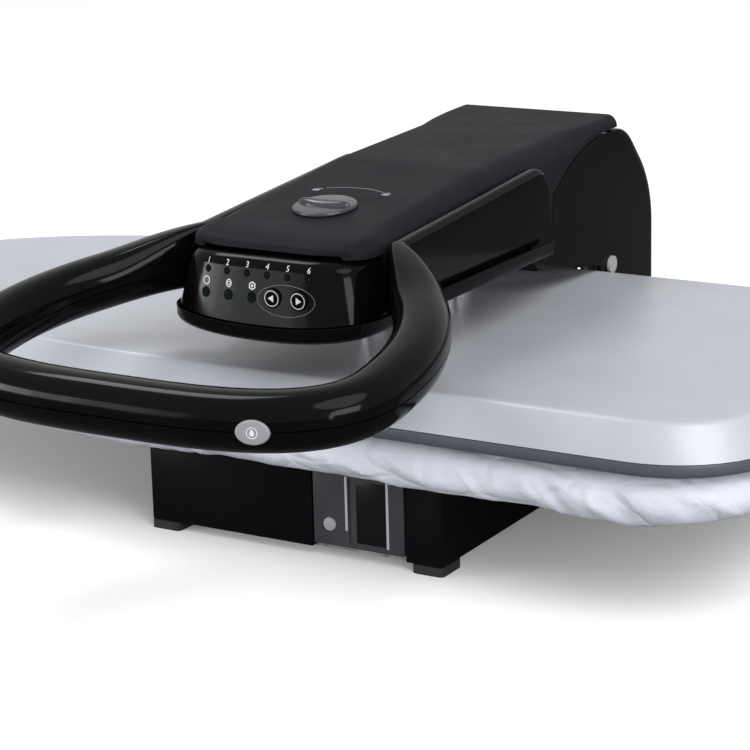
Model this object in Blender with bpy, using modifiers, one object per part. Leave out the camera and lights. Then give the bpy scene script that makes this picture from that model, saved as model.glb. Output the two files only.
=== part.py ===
"""Steam ironing press: a padded board on a base, and a hinged arm that carries the heated plate.

Metres, +Z up. The press faces -Y. In the design frame X = 0 is the middle plane of the arm, Y = 0 is the
middle of the heated plate's depth, and Z = 0 is the surface that the feet stand on. One empty then moves
the whole press so that the middle of its footprint lies on the world's origin.
"""

import math

import bmesh
import bpy
from mathutils import Matrix, Vector

# Clearances and counts used all over the press
GAP = 0.0003
RUNNING_GAP = 0.0008
OVERRUN = 0.004
ROUND_SEGMENTS = 16
HEXAGON = 6
SMALL_SEGMENTS = 10

# Heated plate, seen from above: straight sides, a round nose on the left, two round corners on the right
PLATE_HALF_DEPTH = 0.135
PLATE_RIGHT = 0.245
NOSE_START = -0.082
NOSE_LENGTH = 0.273
PLATE_CORNER = 0.045
SKIRT_SPREAD = 0.0125
HOUSING_HEIGHT = 0.0167
HOUSING_WALL = 0.002
HOUSING_EDGE = 0.0015
RIM_HEIGHT = 0.0068
RIM_WIDTH = 0.013
SOLE_THICKNESS = 0.005
SOLE_SETBACK = 0.0004
STEAM_HOLE_RADIUS = 0.0022
STEAM_HOLE_PITCH = 0.034
INSULATION_THICKNESS = 0.0015
INSULATION_INSET = 0.016
CHAMBER_SIZE = (0.090, 0.080, 0.010)
CHAMBER_X = 0.085
ELEMENT_RADIUS = 0.004
ELEMENT_INSET = 0.035
ELEMENT_TAIL = 0.050
CUTOUT_RADIUS = 0.008
CUTOUT_HEIGHT = 0.006
CUTOUT_X = -0.060

# Padded board
PAN_THICKNESS = 0.004
PAN_INSET = 0.002
RAIL_HEIGHT = 0.0034
RAIL_WIDTH = 0.022
RAIL_ROUND_SHARE = 0.5
FRAME_LENGTH = 0.166
FRAME_DEPTH = 0.230
PAD_THICKNESS = 0.0144
COVER_THICKNESS = 0.001
COVER_BULGE = 0.0095
COVER_TUCK = 0.018
COVER_FLAT = 0.006
COVER_DROP = 0.0033
PUCKER_DEPTH = 0.0022
GATHER_SHARE = 0.45

# Base
FOOT_HEIGHT = 0.005
FOOT_WIDTH = 0.018
FOOT_DEPTH = 0.020
BASE_HEIGHT = 0.0465
BASE_HALF_WIDTH = 0.089
BASE_FRONT = -0.1233
BASE_BACK = 0.184
BASE_WALL = 0.0025
BASE_CORNER = 0.0025
BOTTOM_THICKNESS = 0.002

# Water tank at the front right of the base
TANK_LEFT = 0.0134
TANK_WIDTH = 0.0536
TANK_LENGTH = 0.182
TANK_WALL = 0.002
WINDOW_LEFT = 0.0345
WINDOW_WIDTH = 0.0222
WINDOW_DEPTH = 0.001
BAY_WALL = 0.0012
PLUG_RADIUS = 0.0038
PLUG_LENGTH = 0.006
PLUG_HEIGHT = 0.0115
PLUG_SETBACK = 0.010
VALVE_RADIUS = 0.005
VALVE_LENGTH = 0.010
VALVE_HEIGHT = 0.014

# Pump, hose, power board and gland inside the base
PUMP_RADIUS = 0.014
PUMP_LENGTH = 0.052
PUMP_PLACE = (-0.040, -0.030)
PUMP_FOOT = (0.034, 0.040, 0.004)
HOSE_RADIUS = 0.003
POWER_BOARD_SIZE = (0.080, 0.060, 0.0016)
POWER_BOARD_PLACE = (-0.035, 0.118)
COIL_SIZE = (0.026, 0.022, 0.018)
CAPACITOR_RADIUS = 0.007
CAPACITOR_HEIGHT = 0.020
GLAND_RADIUS = 0.007
GLAND_LENGTH = 0.018
GLAND_BORE = 0.0035
GLAND_FLANGE = 0.0095
GLAND_FLANGE_THICKNESS = 0.0025
GLAND_X = -0.055
GLAND_HEIGHT = 0.022

# Column behind the board, and the arm's hinge on it
HINGE_Y = 0.149
HINGE_Z = 0.101
CHEEK_INSIDE = 0.0370
CHEEK_THICKNESS = 0.003
CHEEK_EYE = 0.009
CHEEK_FOOT_SHARE = 1.6
CHEEK_FRONT = 0.1508
CHEEK_BACK = 0.1795
CHEEK_SHOULDER = 0.080
COLUMN_FLANGE = 0.003
COLUMN_COVER_HALF_WIDTH = 0.0475
COLUMN_COVER_FRONT = 0.1490
COLUMN_COVER_BACK = 0.1825
COLUMN_COVER_HEIGHT = 0.034
COLUMN_COVER_WALL = 0.0015
PIN_RADIUS = 0.004
BUSH_RADIUS = 0.0075
BUSH_LENGTH = 0.0024
CLIP_RADIUS = 0.0075
CLIP_THICKNESS = 0.0012
SPRING_RADIUS = 0.0058
SPRING_WIRE = 0.0011
SPRING_HALF_LENGTH = 0.030
SPRING_TURNS = 9

# Arm: frame, covers and nose
ARM_HALF_WIDTH = 0.0525
ARM_WALL = 0.0022
ARM_CORNER = 0.0125
ARM_CORNER_SHARE = 0.9
ARM_SKIRT_BOTTOM = 0.1375
ARM_FRONT = -0.1365
ARM_NOSE_TOP = 0.1680
ARM_BEND_Y = 0.003
ARM_BEND_TOP = 0.1825
ARM_REAR = 0.158
ARM_REAR_TOP = 0.1883
ARM_FRONT_ROUND = 0.0085
PANEL_TOP = 0.1603
PANEL_BOTTOM = 0.1272
PANEL_TOP_FRONT = -0.1430
PANEL_BOTTOM_FRONT = -0.1490
PANEL_TOP_HALF_WIDTH = 0.0495
PANEL_BOTTOM_HALF_WIDTH = 0.0572
PANEL_BACK = -0.1120
PANEL_WALL = 0.0022
SIDE_SKIRT_FRONT = -0.1090
NOSE_BOTTOM = 0.1183
NOSE_LIP = 0.0018
NOSE_EDGE = 0.0035
NOSE_EXPONENT = 4.0
NOSE_RISE = 0.0048
TRAY_HALF_WIDTH = 0.0670
TRAY_FRONT = -0.1040
TRAY_BOTTOM = 0.1285
TRAY_LIP_TOP = 0.1365
TRAY_EDGE = 0.0030
HOOD_FRONT = 0.0478
HOOD_BACK = 0.2165
HOOD_RADIUS = 0.0655
HOOD_TOP = 0.1805
HOOD_SKIRT_BOTTOM = 0.0810
HOOD_WALL = 0.0025
HOOD_CORNER = 0.012
HOOD_FOOT_SHARE = 0.65
HOOD_SLANT = 0.0125
FRAME_WEB_Z = 0.1325
FRAME_THICKNESS = 0.003
FRAME_FRONT = -0.098
FRAME_BACK = 0.128
FRAME_FLANGE_HEIGHT = 0.0125
EAR_THICKNESS = 0.0025
POST_RADIUS = 0.008
POST_Y = (-0.035, 0.060)
POST_SCREW_RADIUS = 0.006
POST_SCREW_HEIGHT = 0.004
DUCT_HALF_WIDTH = 0.020
DUCT_FRONT = 0.1165
DUCT_BACK = 0.1340
CAP_RADIUS = 0.0052
CAP_THICKNESS = 0.0016

# Control panel
LAMP_COUNT = 6
LAMP_X = -0.0315
LAMP_PITCH = 0.0119
LAMP_Z = 0.1520
LAMP_RADIUS = 0.0016
STATE_LAMP_COUNT = 3
STATE_LAMP_X = -0.0319
STATE_LAMP_PITCH = 0.0140
STATE_LAMP_Z = 0.1403
STATE_LAMP_RADIUS = 0.0024
ARROW_X = (0.0085, 0.0237)
ARROW_Z = 0.1412
ARROW_RADIUS = 0.0048
ARROW_EDGE_SHARE = 0.92
ARROW_PROUD = 0.0012
ARROW_TRAVEL = 0.0008
LAMP_PROUD = 0.0004
LENS_SHARE = 0.97
GUIDE_THICKNESS = 0.002
BOARD_FRONT = -0.1310
BOARD_THICKNESS = 0.0016
BOARD_HALF_WIDTH = 0.036
BOARD_MARGIN = 0.003

# Lock knob on top of the arm
KNOB_Y = -0.0816
KNOB_RADIUS = 0.0170
KNOB_EDGE_SHARE = 0.9
KNOB_WING_SHARE = 0.92
KNOB_WING_POWER = 1.2
KNOB_HEIGHT = 0.0022
KNOB_WING_HEIGHT = 0.0060
KNOB_WING_WIDTH = 0.0075
SPINDLE_RADIUS = 0.004
SPINDLE_LENGTH = 0.026
CAM_LENGTH = 0.014
CAM_ROUND_SHARE = 0.9
CAM_WIDTH = 0.007
CAM_THICKNESS = 0.003

# Handle: a loop in front of the nose on two flat legs beside the arm
LEG_X = 0.0576
LEG_THICKNESS = 0.0090
LEG_BACK = 0.053
LEG_FRONT = -0.106
LEG_BOTTOM = 0.1332
LEG_TOP_BACK = 0.1787
LEG_TOP_FRONT = 0.1664
LOOP_HALF_WIDTH = 0.1155
LOOP_SIDE_Y = -0.215
LOOP_FRONT_DEPTH = 0.0525
LOOP_SLOPE = 0.2
LOOP_START_Z = 0.1486
LEG_END_ROUND = 0.016
LOOP_WIDTH = 0.028
LOOP_HEIGHT = 0.0285
LOOP_EXPONENT = 3.0
LOOP_SQUARENESS = 2.3
LEG_SQUARENESS = 5.0
SIDE_PULL = 0.066
LEG_PULL = 0.006
HANDLE_WALL = 0.0024
SEAM_DROP = 0.0013
SEAM_GAP = 0.0006
SEAM_START_Y = -0.140
HANDLE_PIVOT_Y = 0.026
HANDLE_PIVOT_Z = 0.158
HANDLE_PIVOT_RADIUS = 0.004
PIVOT_HEAD = 0.004

# Steam button on the front of the loop
STEAM_X = 0.0764
STEAM_HALF_WIDTH = 0.0081
STEAM_HALF_HEIGHT = 0.0057
STEAM_LENGTH = 0.0065
STEAM_PROUD = 0.0012
STEAM_TRAVEL = 0.0015
STEAM_SLANT = 15.0
SWITCH_WIDTH = 0.010
SWITCH_HEIGHT = 0.0060
SWITCH_WALL_SHARE = 1.7

# Heights that follow from the stack, from the floor up
Z_BASE = FOOT_HEIGHT
Z_DECK = Z_BASE + BASE_HEIGHT
Z_RAIL = Z_DECK + GAP
Z_PAN = Z_RAIL + RAIL_HEIGHT + GAP
Z_PAD = Z_PAN + PAN_THICKNESS + GAP
Z_PAD_TOP = Z_PAD + PAD_THICKNESS
Z_COVER_TOP = Z_PAD_TOP + GAP + COVER_THICKNESS
Z_SOLE = Z_COVER_TOP + GAP
Z_SOLE_TOP = Z_SOLE + SOLE_THICKNESS
Z_RIM = Z_SOLE + SOLE_SETBACK
Z_RIM_TOP = Z_RIM + RIM_HEIGHT
Z_HOUSING = Z_RIM_TOP + GAP
Z_PLATE_TOP = Z_HOUSING + HOUSING_HEIGHT
Z_FLOOR_PLATE_TOP = Z_BASE + BOTTOM_THICKNESS
CHEEK_OUTSIDE = CHEEK_INSIDE + CHEEK_THICKNESS
EAR_INSIDE = CHEEK_OUTSIDE + BUSH_LENGTH + 2 * GAP
EAR_OUTSIDE = EAR_INSIDE + EAR_THICKNESS
PIN_HALF_LENGTH = EAR_OUTSIDE + GAP + CLIP_THICKNESS
LOOP_FRONT = LOOP_SIDE_Y - LOOP_FRONT_DEPTH
LEG_MIDDLE_Z = (LEG_TOP_FRONT + LEG_BOTTOM) / 2

# The row's origin: the middle of the footprint's box, on the floor
MIDDLE_X = (PLATE_RIGHT + SKIRT_SPREAD + NOSE_START - NOSE_LENGTH - SKIRT_SPREAD) / 2
MIDDLE_Y = (HOOD_BACK + LOOP_FRONT - LOOP_WIDTH / 2) / 2


def clear_scene():
    for obj in list(bpy.data.objects):
        bpy.data.objects.remove(obj, do_unlink=True)


def new_collection(name):
    collection = bpy.data.collections.new(name)
    bpy.context.scene.collection.children.link(collection)
    return collection


clear_scene()
PRESS = new_collection("steam_ironing_press")
CUTTERS = new_collection("cutters")


def new_axis(name, place, parent=None):
    """An empty on a joint's axis, or at the row's origin, that carries the pieces of one body."""
    axis = bpy.data.objects.new(name, None)
    PRESS.objects.link(axis)
    axis.location = place
    axis.parent = parent
    return axis


def finish_colour(name, colour, roughness, metallic=0.0, alpha=1.0):
    material = bpy.data.materials.new(name)
    material.use_nodes = True
    shader = material.node_tree.nodes["Principled BSDF"]
    shader.inputs["Base Color"].default_value = (*colour, 1.0)
    shader.inputs["Roughness"].default_value = roughness
    shader.inputs["Metallic"].default_value = metallic
    shader.inputs["Alpha"].default_value = alpha
    return material


MATTE_BLACK = finish_colour("matte_black_plastic", (0.028, 0.027, 0.031), 0.55)
GLOSS_BLACK = finish_colour("gloss_black_plastic", (0.006, 0.006, 0.007), 0.12)
SATIN_BLACK = finish_colour("satin_black_plastic", (0.010, 0.010, 0.011), 0.35)
SILVER = finish_colour("silver_paint", (0.60, 0.61, 0.62), 0.35, 0.7)
SLATE = finish_colour("slate_grey_plastic", (0.075, 0.085, 0.105), 0.45)
ALUMINIUM = finish_colour("cast_aluminium", (0.70, 0.70, 0.70), 0.35, 1.0)
STEEL = finish_colour("zinc_plated_steel", (0.55, 0.55, 0.55), 0.30, 1.0)
CLEAR_SMOKE = finish_colour("clear_smoke_plastic", (0.30, 0.30, 0.31), 0.08, 0.0, 0.45)
LIGHT_GREY = finish_colour("light_grey_plastic", (0.50, 0.52, 0.54), 0.35)
COTTON = finish_colour("silver_white_cotton", (0.62, 0.64, 0.72), 0.85)
FOAM = finish_colour("grey_foam", (0.45, 0.45, 0.47), 0.95)
RUBBER = finish_colour("black_rubber", (0.02, 0.02, 0.02), 0.8)
BOARD_GREEN = finish_colour("circuit_board", (0.02, 0.10, 0.05), 0.45)
LAMP_GREEN = finish_colour("lamp_lens", (0.03, 0.09, 0.05), 0.15)
WHITE_FELT = finish_colour("insulation_felt", (0.75, 0.73, 0.68), 0.95)


def adopt(obj, name, material, axis):
    """Names a finished mesh object, gives it its finish and hangs it on its body's empty."""
    obj.name = name
    obj.data.name = name
    for collection in list(obj.users_collection):
        collection.objects.unlink(obj)
    PRESS.objects.link(obj)
    obj.data.materials.clear()
    obj.data.materials.append(material)
    hang(obj, axis)
    return obj


def hang(obj, axis):
    """Parents an object to an empty while its mesh stays in the design frame."""
    obj.parent = axis
    place = Vector((0, 0, 0))
    while axis is not None and axis.parent is not None:
        place -= axis.location
        axis = axis.parent
    obj.location = place


def mesh_object(mesh, name="piece"):
    obj = bpy.data.objects.new(name, mesh)
    PRESS.objects.link(obj)
    return obj


def from_bmesh(bm):
    bmesh.ops.recalc_face_normals(bm, faces=bm.faces)
    mesh = bpy.data.meshes.new("piece")
    bm.to_mesh(mesh)
    bm.free()
    return mesh_object(mesh)


def join_meshes(objects):
    """Puts several separate solids in one object, as a group of loose bodies."""
    bm = bmesh.new()
    for obj in objects:
        bm.from_mesh(obj.data)
        bpy.data.objects.remove(obj, do_unlink=True)
    mesh = bpy.data.meshes.new("group")
    bm.to_mesh(mesh)
    bm.free()
    return mesh_object(mesh)


def block(low, high):
    """A box between two corners."""
    bm = bmesh.new()
    bmesh.ops.create_cube(bm, size=1)
    size = [high[k] - low[k] for k in range(3)]
    middle = [(high[k] + low[k]) / 2 for k in range(3)]
    bmesh.ops.scale(bm, vec=size, verts=bm.verts)
    bmesh.ops.translate(bm, vec=middle, verts=bm.verts)
    return from_bmesh(bm)


def rod(radius, start, end, segments=ROUND_SEGMENTS, end_radius=None):
    """A cylinder or cone between two points."""
    start, end = Vector(start), Vector(end)
    along = end - start
    bm = bmesh.new()
    bmesh.ops.create_cone(
        bm,
        cap_ends=True,
        segments=segments,
        radius1=radius,
        radius2=radius if end_radius is None else end_radius,
        depth=along.length,
    )
    turn = Vector((0, 0, 1)).rotation_difference(along).to_matrix().to_4x4()
    bmesh.ops.transform(bm, matrix=Matrix.Translation((start + end) / 2) @ turn, verts=bm.verts)
    return from_bmesh(bm)


def curve_to_mesh(curve, matrix=None):
    """Turns a curve into a closed mesh with its caps welded."""
    obj = bpy.data.objects.new("curve", curve)
    PRESS.objects.link(obj)
    bpy.context.view_layer.update()
    graph = bpy.context.evaluated_depsgraph_get()
    mesh = bpy.data.meshes.new_from_object(obj.evaluated_get(graph))
    bpy.data.objects.remove(obj, do_unlink=True)
    bm = bmesh.new()
    bm.from_mesh(mesh)
    bmesh.ops.remove_doubles(bm, verts=bm.verts, dist=WELD)
    if matrix is not None:
        bmesh.ops.transform(bm, matrix=matrix, verts=bm.verts)
    return from_bmesh(bm)


WELD = GAP / 20


def flat_solid(loops, thickness, matrix=None):
    """A flat outline, with the later loops as holes, given a thickness upwards from its plane."""
    curve = bpy.data.curves.new("outline", "CURVE")
    curve.dimensions = "2D"
    curve.fill_mode = "BOTH"
    curve.extrude = thickness / 2
    for loop in loops:
        spline = curve.splines.new("POLY")
        spline.points.add(len(loop) - 1)
        for point, (u, v) in zip(spline.points, loop):
            point.co = (u, v, 0, 1)
        spline.use_cyclic_u = True
    lift = Matrix.Translation((0, 0, thickness / 2))
    return curve_to_mesh(curve, lift if matrix is None else matrix @ lift)


def side_profile(loops, left, right):
    """A solid with an outline in the Y-Z plane, from one X to another."""
    turn = Matrix(((0, 0, 1, left), (1, 0, 0, 0), (0, 1, 0, 0), (0, 0, 0, 1)))
    return flat_solid(loops, right - left, turn)


def level_plate(loops, low, high):
    """A solid with an outline in the X-Y plane, from one height to another."""
    return flat_solid(loops, high - low, Matrix.Translation((0, 0, low)))


def tube(points, radius, resolution=2):
    """A round tube along a run of points."""
    curve = bpy.data.curves.new("tube", "CURVE")
    curve.dimensions = "3D"
    curve.bevel_depth = radius
    curve.bevel_resolution = resolution
    curve.use_fill_caps = True
    spline = curve.splines.new("POLY")
    spline.points.add(len(points) - 1)
    for point, place in zip(spline.points, points):
        point.co = (*place, 1)
    return curve_to_mesh(curve)


def turned(profile, place, axis_direction, segments=ROUND_SEGMENTS):
    """A turned piece: (radius, height) points from the top down the outer side, round an axis."""
    bm = bmesh.new()
    last = None
    for radius, height in profile:
        vert = bm.verts.new((radius, 0, height))
        if last is not None:
            bm.edges.new((last, vert))
        last = vert
    mesh = bpy.data.meshes.new("profile")
    bm.to_mesh(mesh)
    bm.free()
    obj = mesh_object(mesh)
    screw = obj.modifiers.new("turn", "SCREW")
    screw.steps = segments
    screw.render_steps = segments
    screw.use_merge_vertices = True
    screw.merge_threshold = WELD
    graph = bpy.context.evaluated_depsgraph_get()
    solid = bpy.data.meshes.new_from_object(obj.evaluated_get(graph))
    bpy.data.objects.remove(obj, do_unlink=True)
    bm = bmesh.new()
    bm.from_mesh(solid)
    bmesh.ops.remove_doubles(bm, verts=bm.verts, dist=WELD)
    turn = Vector((0, 0, 1)).rotation_difference(Vector(axis_direction)).to_matrix().to_4x4()
    bmesh.ops.transform(bm, matrix=Matrix.Translation(place) @ turn, verts=bm.verts)
    return from_bmesh(bm)


def loft(rings, closed_rings=True, cap_ends=True):
    """Bridges rings, or open strips, of equal counts, for a body whose section changes along it."""
    bm = bmesh.new()
    rows = [[bm.verts.new(point) for point in ring] for ring in rings]
    count = len(rows[0])
    spans = count if closed_rings else count - 1
    for lower, upper in zip(rows, rows[1:]):
        for k in range(spans):
            n = (k + 1) % count
            bm.faces.new((lower[k], lower[n], upper[n], upper[k]))
    if cap_ends:
        bm.faces.new(list(reversed(rows[0])))
        bm.faces.new(rows[-1])
    return bm


def cut(obj, cutter, operation="DIFFERENCE"):
    """Cuts an object, or joins a helper to it, with an exact Boolean that stays on the object."""
    for collection in list(cutter.users_collection):
        collection.objects.unlink(cutter)
    CUTTERS.objects.link(cutter)
    cutter.name = "cutter_" + str(len(CUTTERS.objects))
    cutter.hide_render = True
    cutter.display_type = "WIRE"
    cutter.parent = obj.parent
    cutter.location = obj.location
    step = obj.modifiers.new("cut" if operation == "DIFFERENCE" else "join", "BOOLEAN")
    step.operation = operation
    step.solver = "EXACT"
    step.object = cutter
    return obj


def soften(obj, width, segments=2, angle=35.0):
    """Rounds the sharp edges of an object."""
    edge = obj.modifiers.new("round_edges", "BEVEL")
    edge.width = width
    edge.segments = segments
    edge.limit_method = "ANGLE"
    edge.angle_limit = math.radians(angle)
    return obj


def thicken(obj, wall):
    """Gives an open surface a wall on its inner side."""
    shell = obj.modifiers.new("wall", "SOLIDIFY")
    shell.thickness = wall
    shell.offset = -1
    shell.use_even_offset = True
    return obj


def smooth(obj, angle=32.0):
    obj.data.shade_smooth()
    obj.data.set_sharp_from_angle(angle=math.radians(angle))
    return obj


def rounded_box_outline(left, right, front, back, radius, steps=3):
    """A rectangle seen from above with four round corners."""
    points = []
    corners = ((right - radius, front + radius, -90), (right - radius, back - radius, 0))
    corners += ((left + radius, back - radius, 90), (left + radius, front + radius, 180))
    for x, y, start in corners:
        for k in range(steps + 1):
            turn = math.radians(start + 90 * k / steps)
            points.append((x + radius * math.cos(turn), y + radius * math.sin(turn)))
    return points


def circle(x, y, radius, steps=SMALL_SEGMENTS):
    turns = [2 * math.pi * k / steps for k in range(steps)]
    return [(x + radius * math.cos(turn), y + radius * math.sin(turn)) for turn in turns]


def arc(y, z, radius, start, end, steps):
    """Points of a round stretch, angles in degrees from the first axis."""
    turns = [math.radians(start + (end - start) * k / steps) for k in range(steps + 1)]
    return [(y + radius * math.cos(turn), z + radius * math.sin(turn)) for turn in turns]


def plate_outline(grow, nose_steps=20, corner_steps=4, side_steps=1):
    """The heated plate's outline from above, moved outwards by grow, anticlockwise."""
    points = []
    corner = PLATE_CORNER + grow
    x = PLATE_RIGHT - PLATE_CORNER
    y = PLATE_HALF_DEPTH - PLATE_CORNER
    edge = PLATE_HALF_DEPTH + grow
    for k in range(side_steps):
        points.append((NOSE_START + (x - NOSE_START) * k / side_steps, -edge))
    points += arc(x, -y, corner, -90, 0, corner_steps)
    points += arc(x, y, corner, 0, 90, corner_steps)
    for k in range(1, side_steps):
        points.append((x + (NOSE_START - x) * k / side_steps, edge))
    for k in range(nose_steps):
        turn = math.radians(90 + 180 * k / nose_steps)
        points.append((NOSE_START + (NOSE_LENGTH + grow) * math.cos(turn), edge * math.sin(turn)))
    return points


def at_height(outline, z):
    return [(x, y, z) for x, y in outline]


def inner_profile(profile, wall, floor=None):
    """An edge profile of (grow, height) points moved inwards by a wall, and cut level at a floor."""
    moved = []
    for k, (grow, z) in enumerate(profile):
        before, after = Vector(profile[max(k - 1, 0)]), Vector(profile[min(k + 1, len(profile) - 1)])
        along = (after - before).normalized()
        point = Vector((grow, z)) + Vector((-along.y, along.x)) * wall
        moved.append((point.x, point.y if floor is None else max(point.y, floor)))
    return moved


def edge_shell(profile, inside, outline=plate_outline):
    """A shell over the plate's outline: its inner profile, then its outer one, both closed on top."""
    rings = [at_height(outline(grow), z) for grow, z in inside[::-1] + profile]
    return from_bmesh(loft(rings))


FRAME = new_axis("press_origin", (-MIDDLE_X, -MIDDLE_Y, 0))
ARM_AXIS = new_axis("arm_hinge_axis", (0, HINGE_Y, HINGE_Z), FRAME)
HANDLE_AXIS = new_axis(
    "handle_axis", (0, HANDLE_PIVOT_Y - HINGE_Y, HANDLE_PIVOT_Z - HINGE_Z), ARM_AXIS
)


# Base: housing, bottom plate, feet and screws
def base_housing():
    outline = rounded_box_outline(-BASE_HALF_WIDTH, BASE_HALF_WIDTH, BASE_FRONT, BASE_BACK, BASE_CORNER)
    shell = adopt(level_plate([outline], Z_BASE, Z_DECK), "base_housing", SATIN_BLACK, FRAME)
    inside = rounded_box_outline(
        BASE_WALL - BASE_HALF_WIDTH,
        BASE_HALF_WIDTH - BASE_WALL,
        BASE_FRONT + BASE_WALL,
        BASE_BACK - BASE_WALL,
        BASE_CORNER / 2,
    )
    cut(shell, level_plate([inside], Z_BASE - OVERRUN, Z_DECK - BASE_WALL))
    mouth_low = (TANK_LEFT - RUNNING_GAP, BASE_FRONT - OVERRUN, Z_BASE - OVERRUN)
    mouth_high = (TANK_LEFT + TANK_WIDTH + RUNNING_GAP, BASE_FRONT + 2 * BASE_WALL, TANK_TOP + RUNNING_GAP)
    cut(shell, block(mouth_low, mouth_high))
    hole_start = (GLAND_X, BASE_BACK - 2 * BASE_WALL, GLAND_HEIGHT)
    hole_end = (GLAND_X, BASE_BACK + OVERRUN, GLAND_HEIGHT)
    cut(shell, rod(GLAND_RADIUS + GAP, hole_start, hole_end))
    return shell


def base_bottom():
    inset = BASE_WALL + GAP
    outline = rounded_box_outline(
        inset - BASE_HALF_WIDTH, BASE_HALF_WIDTH - inset, BASE_FRONT + inset, BASE_BACK - inset,
        BASE_CORNER / 2,
    )
    return adopt(level_plate([outline], Z_BASE, Z_FLOOR_PLATE_TOP), "base_bottom", STEEL, FRAME)


def rubber_feet():
    """Four low feet in the corners of the base."""
    for side, left in (("left", -BASE_HALF_WIDTH), ("right", BASE_HALF_WIDTH - FOOT_WIDTH)):
        for end, front in (("front", BASE_FRONT), ("rear", BASE_BACK - FOOT_DEPTH)):
            outline = rounded_box_outline(left, left + FOOT_WIDTH, front, front + FOOT_DEPTH, BASE_CORNER)
            adopt(level_plate([outline], 0, Z_BASE - GAP), "foot_" + end + "_" + side, RUBBER, FRAME)


# Water tank with its plug and valve, and the bay that it slides into
TANK_RIGHT = TANK_LEFT + TANK_WIDTH
TANK_BOTTOM = Z_FLOOR_PLATE_TOP + GAP
TANK_TOP = Z_DECK - BASE_WALL - BAY_WALL - 3 * GAP
TANK_BACK = BASE_FRONT + TANK_LENGTH
TANK_MIDDLE = (TANK_LEFT + TANK_RIGHT) / 2
TANK_AXIS = new_axis("tank_axis", (TANK_MIDDLE, BASE_FRONT, TANK_BOTTOM), FRAME)
VALVE_Z = TANK_BOTTOM + VALVE_HEIGHT
PLUG_PLACE = (TANK_LEFT + PLUG_SETBACK, BASE_FRONT, TANK_BOTTOM + PLUG_HEIGHT)


def water_tank():
    tank = adopt(
        block((TANK_LEFT, BASE_FRONT, TANK_BOTTOM), (TANK_RIGHT, TANK_BACK, TANK_TOP)),
        "water_tank", CLEAR_SMOKE, TANK_AXIS,
    )
    inner_low = (TANK_LEFT + TANK_WALL, BASE_FRONT + TANK_WALL, TANK_BOTTOM + TANK_WALL)
    inner_high = (TANK_RIGHT - TANK_WALL, TANK_BACK - TANK_WALL, TANK_TOP - TANK_WALL)
    cut(tank, block(inner_low, inner_high))
    low = (WINDOW_LEFT, BASE_FRONT - OVERRUN, TANK_BOTTOM + TANK_WALL)
    cut(tank, block(low, (WINDOW_LEFT + WINDOW_WIDTH, BASE_FRONT + WINDOW_DEPTH, TANK_TOP - TANK_WALL)))
    x, y, z = PLUG_PLACE
    cut(tank, rod(PLUG_RADIUS + GAP, (x, y - OVERRUN, z), (x, y + 2 * TANK_WALL, z)))
    start = (TANK_MIDDLE, TANK_BACK - 2 * TANK_WALL, VALVE_Z)
    cut(tank, rod(VALVE_RADIUS + GAP, start, (TANK_MIDDLE, TANK_BACK + OVERRUN, VALVE_Z)))
    return tank


def tank_plug():
    x, y, z = PLUG_PLACE
    plug = rod(PLUG_RADIUS, (x, y, z), (x, y + PLUG_LENGTH, z))
    return adopt(plug, "tank_plug", LIGHT_GREY, TANK_AXIS)


def tank_valve():
    start = (TANK_MIDDLE, TANK_BACK - VALVE_LENGTH, VALVE_Z)
    return adopt(rod(VALVE_RADIUS, start, (TANK_MIDDLE, TANK_BACK, VALVE_Z)), "tank_valve", RUBBER, TANK_AXIS)


def tank_bay():
    """A sleeve round the tank: two sides, a roof and a back wall, open at the front."""
    reach = RUNNING_GAP / 2
    left = TANK_LEFT - reach - BAY_WALL
    right = TANK_RIGHT + reach + BAY_WALL
    front = BASE_FRONT + BASE_WALL + GAP
    back = TANK_BACK + GAP + BAY_WALL
    roof = TANK_TOP + GAP + BAY_WALL
    bay = adopt(block((left, front, TANK_BOTTOM), (right, back, roof)), "tank_bay", SATIN_BLACK, FRAME)
    low = (TANK_LEFT - reach, front - OVERRUN, TANK_BOTTOM - OVERRUN)
    cut(bay, block(low, (TANK_RIGHT + reach, TANK_BACK + GAP, TANK_TOP + GAP)))
    start = (TANK_MIDDLE, TANK_BACK - OVERRUN, VALVE_Z)
    cut(bay, rod(HOSE_RADIUS + GAP, start, (TANK_MIDDLE, back + OVERRUN, VALVE_Z)))
    return bay


# Pump, hoses, power board and gland
PUMP_Z = Z_FLOOR_PLATE_TOP + GAP + PUMP_FOOT[2] + PUMP_RADIUS - GAP
PUMP_FRONT = PUMP_PLACE[1] - PUMP_LENGTH / 2
PUMP_BACK = PUMP_PLACE[1] + PUMP_LENGTH / 2


def water_pump():
    x, y = PUMP_PLACE
    body = rod(PUMP_RADIUS, (x, PUMP_FRONT, PUMP_Z), (x, PUMP_BACK, PUMP_Z))
    pump = adopt(body, "water_pump", SATIN_BLACK, FRAME)
    low = (x - PUMP_FOOT[0] / 2, y - PUMP_FOOT[1] / 2, Z_FLOOR_PLATE_TOP + GAP)
    high = (x + PUMP_FOOT[0] / 2, y + PUMP_FOOT[1] / 2, PUMP_Z - PUMP_RADIUS / 2)
    cut(pump, block(low, high), "UNION")
    return pump


def bent_run(points, radius, steps=4):
    """Rounds the corners of a run of points."""
    run = [Vector(points[0])]
    for before, corner, after in zip(points, points[1:], points[2:]):
        before, corner, after = Vector(before), Vector(corner), Vector(after)
        start = corner + (before - corner).normalized() * radius
        end = corner + (after - corner).normalized() * radius
        for k in range(steps + 1):
            t = k / steps
            run.append((1 - t) ** 2 * start + 2 * t * (1 - t) * corner + t * t * end)
    run.append(Vector(points[-1]))
    return run


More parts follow.
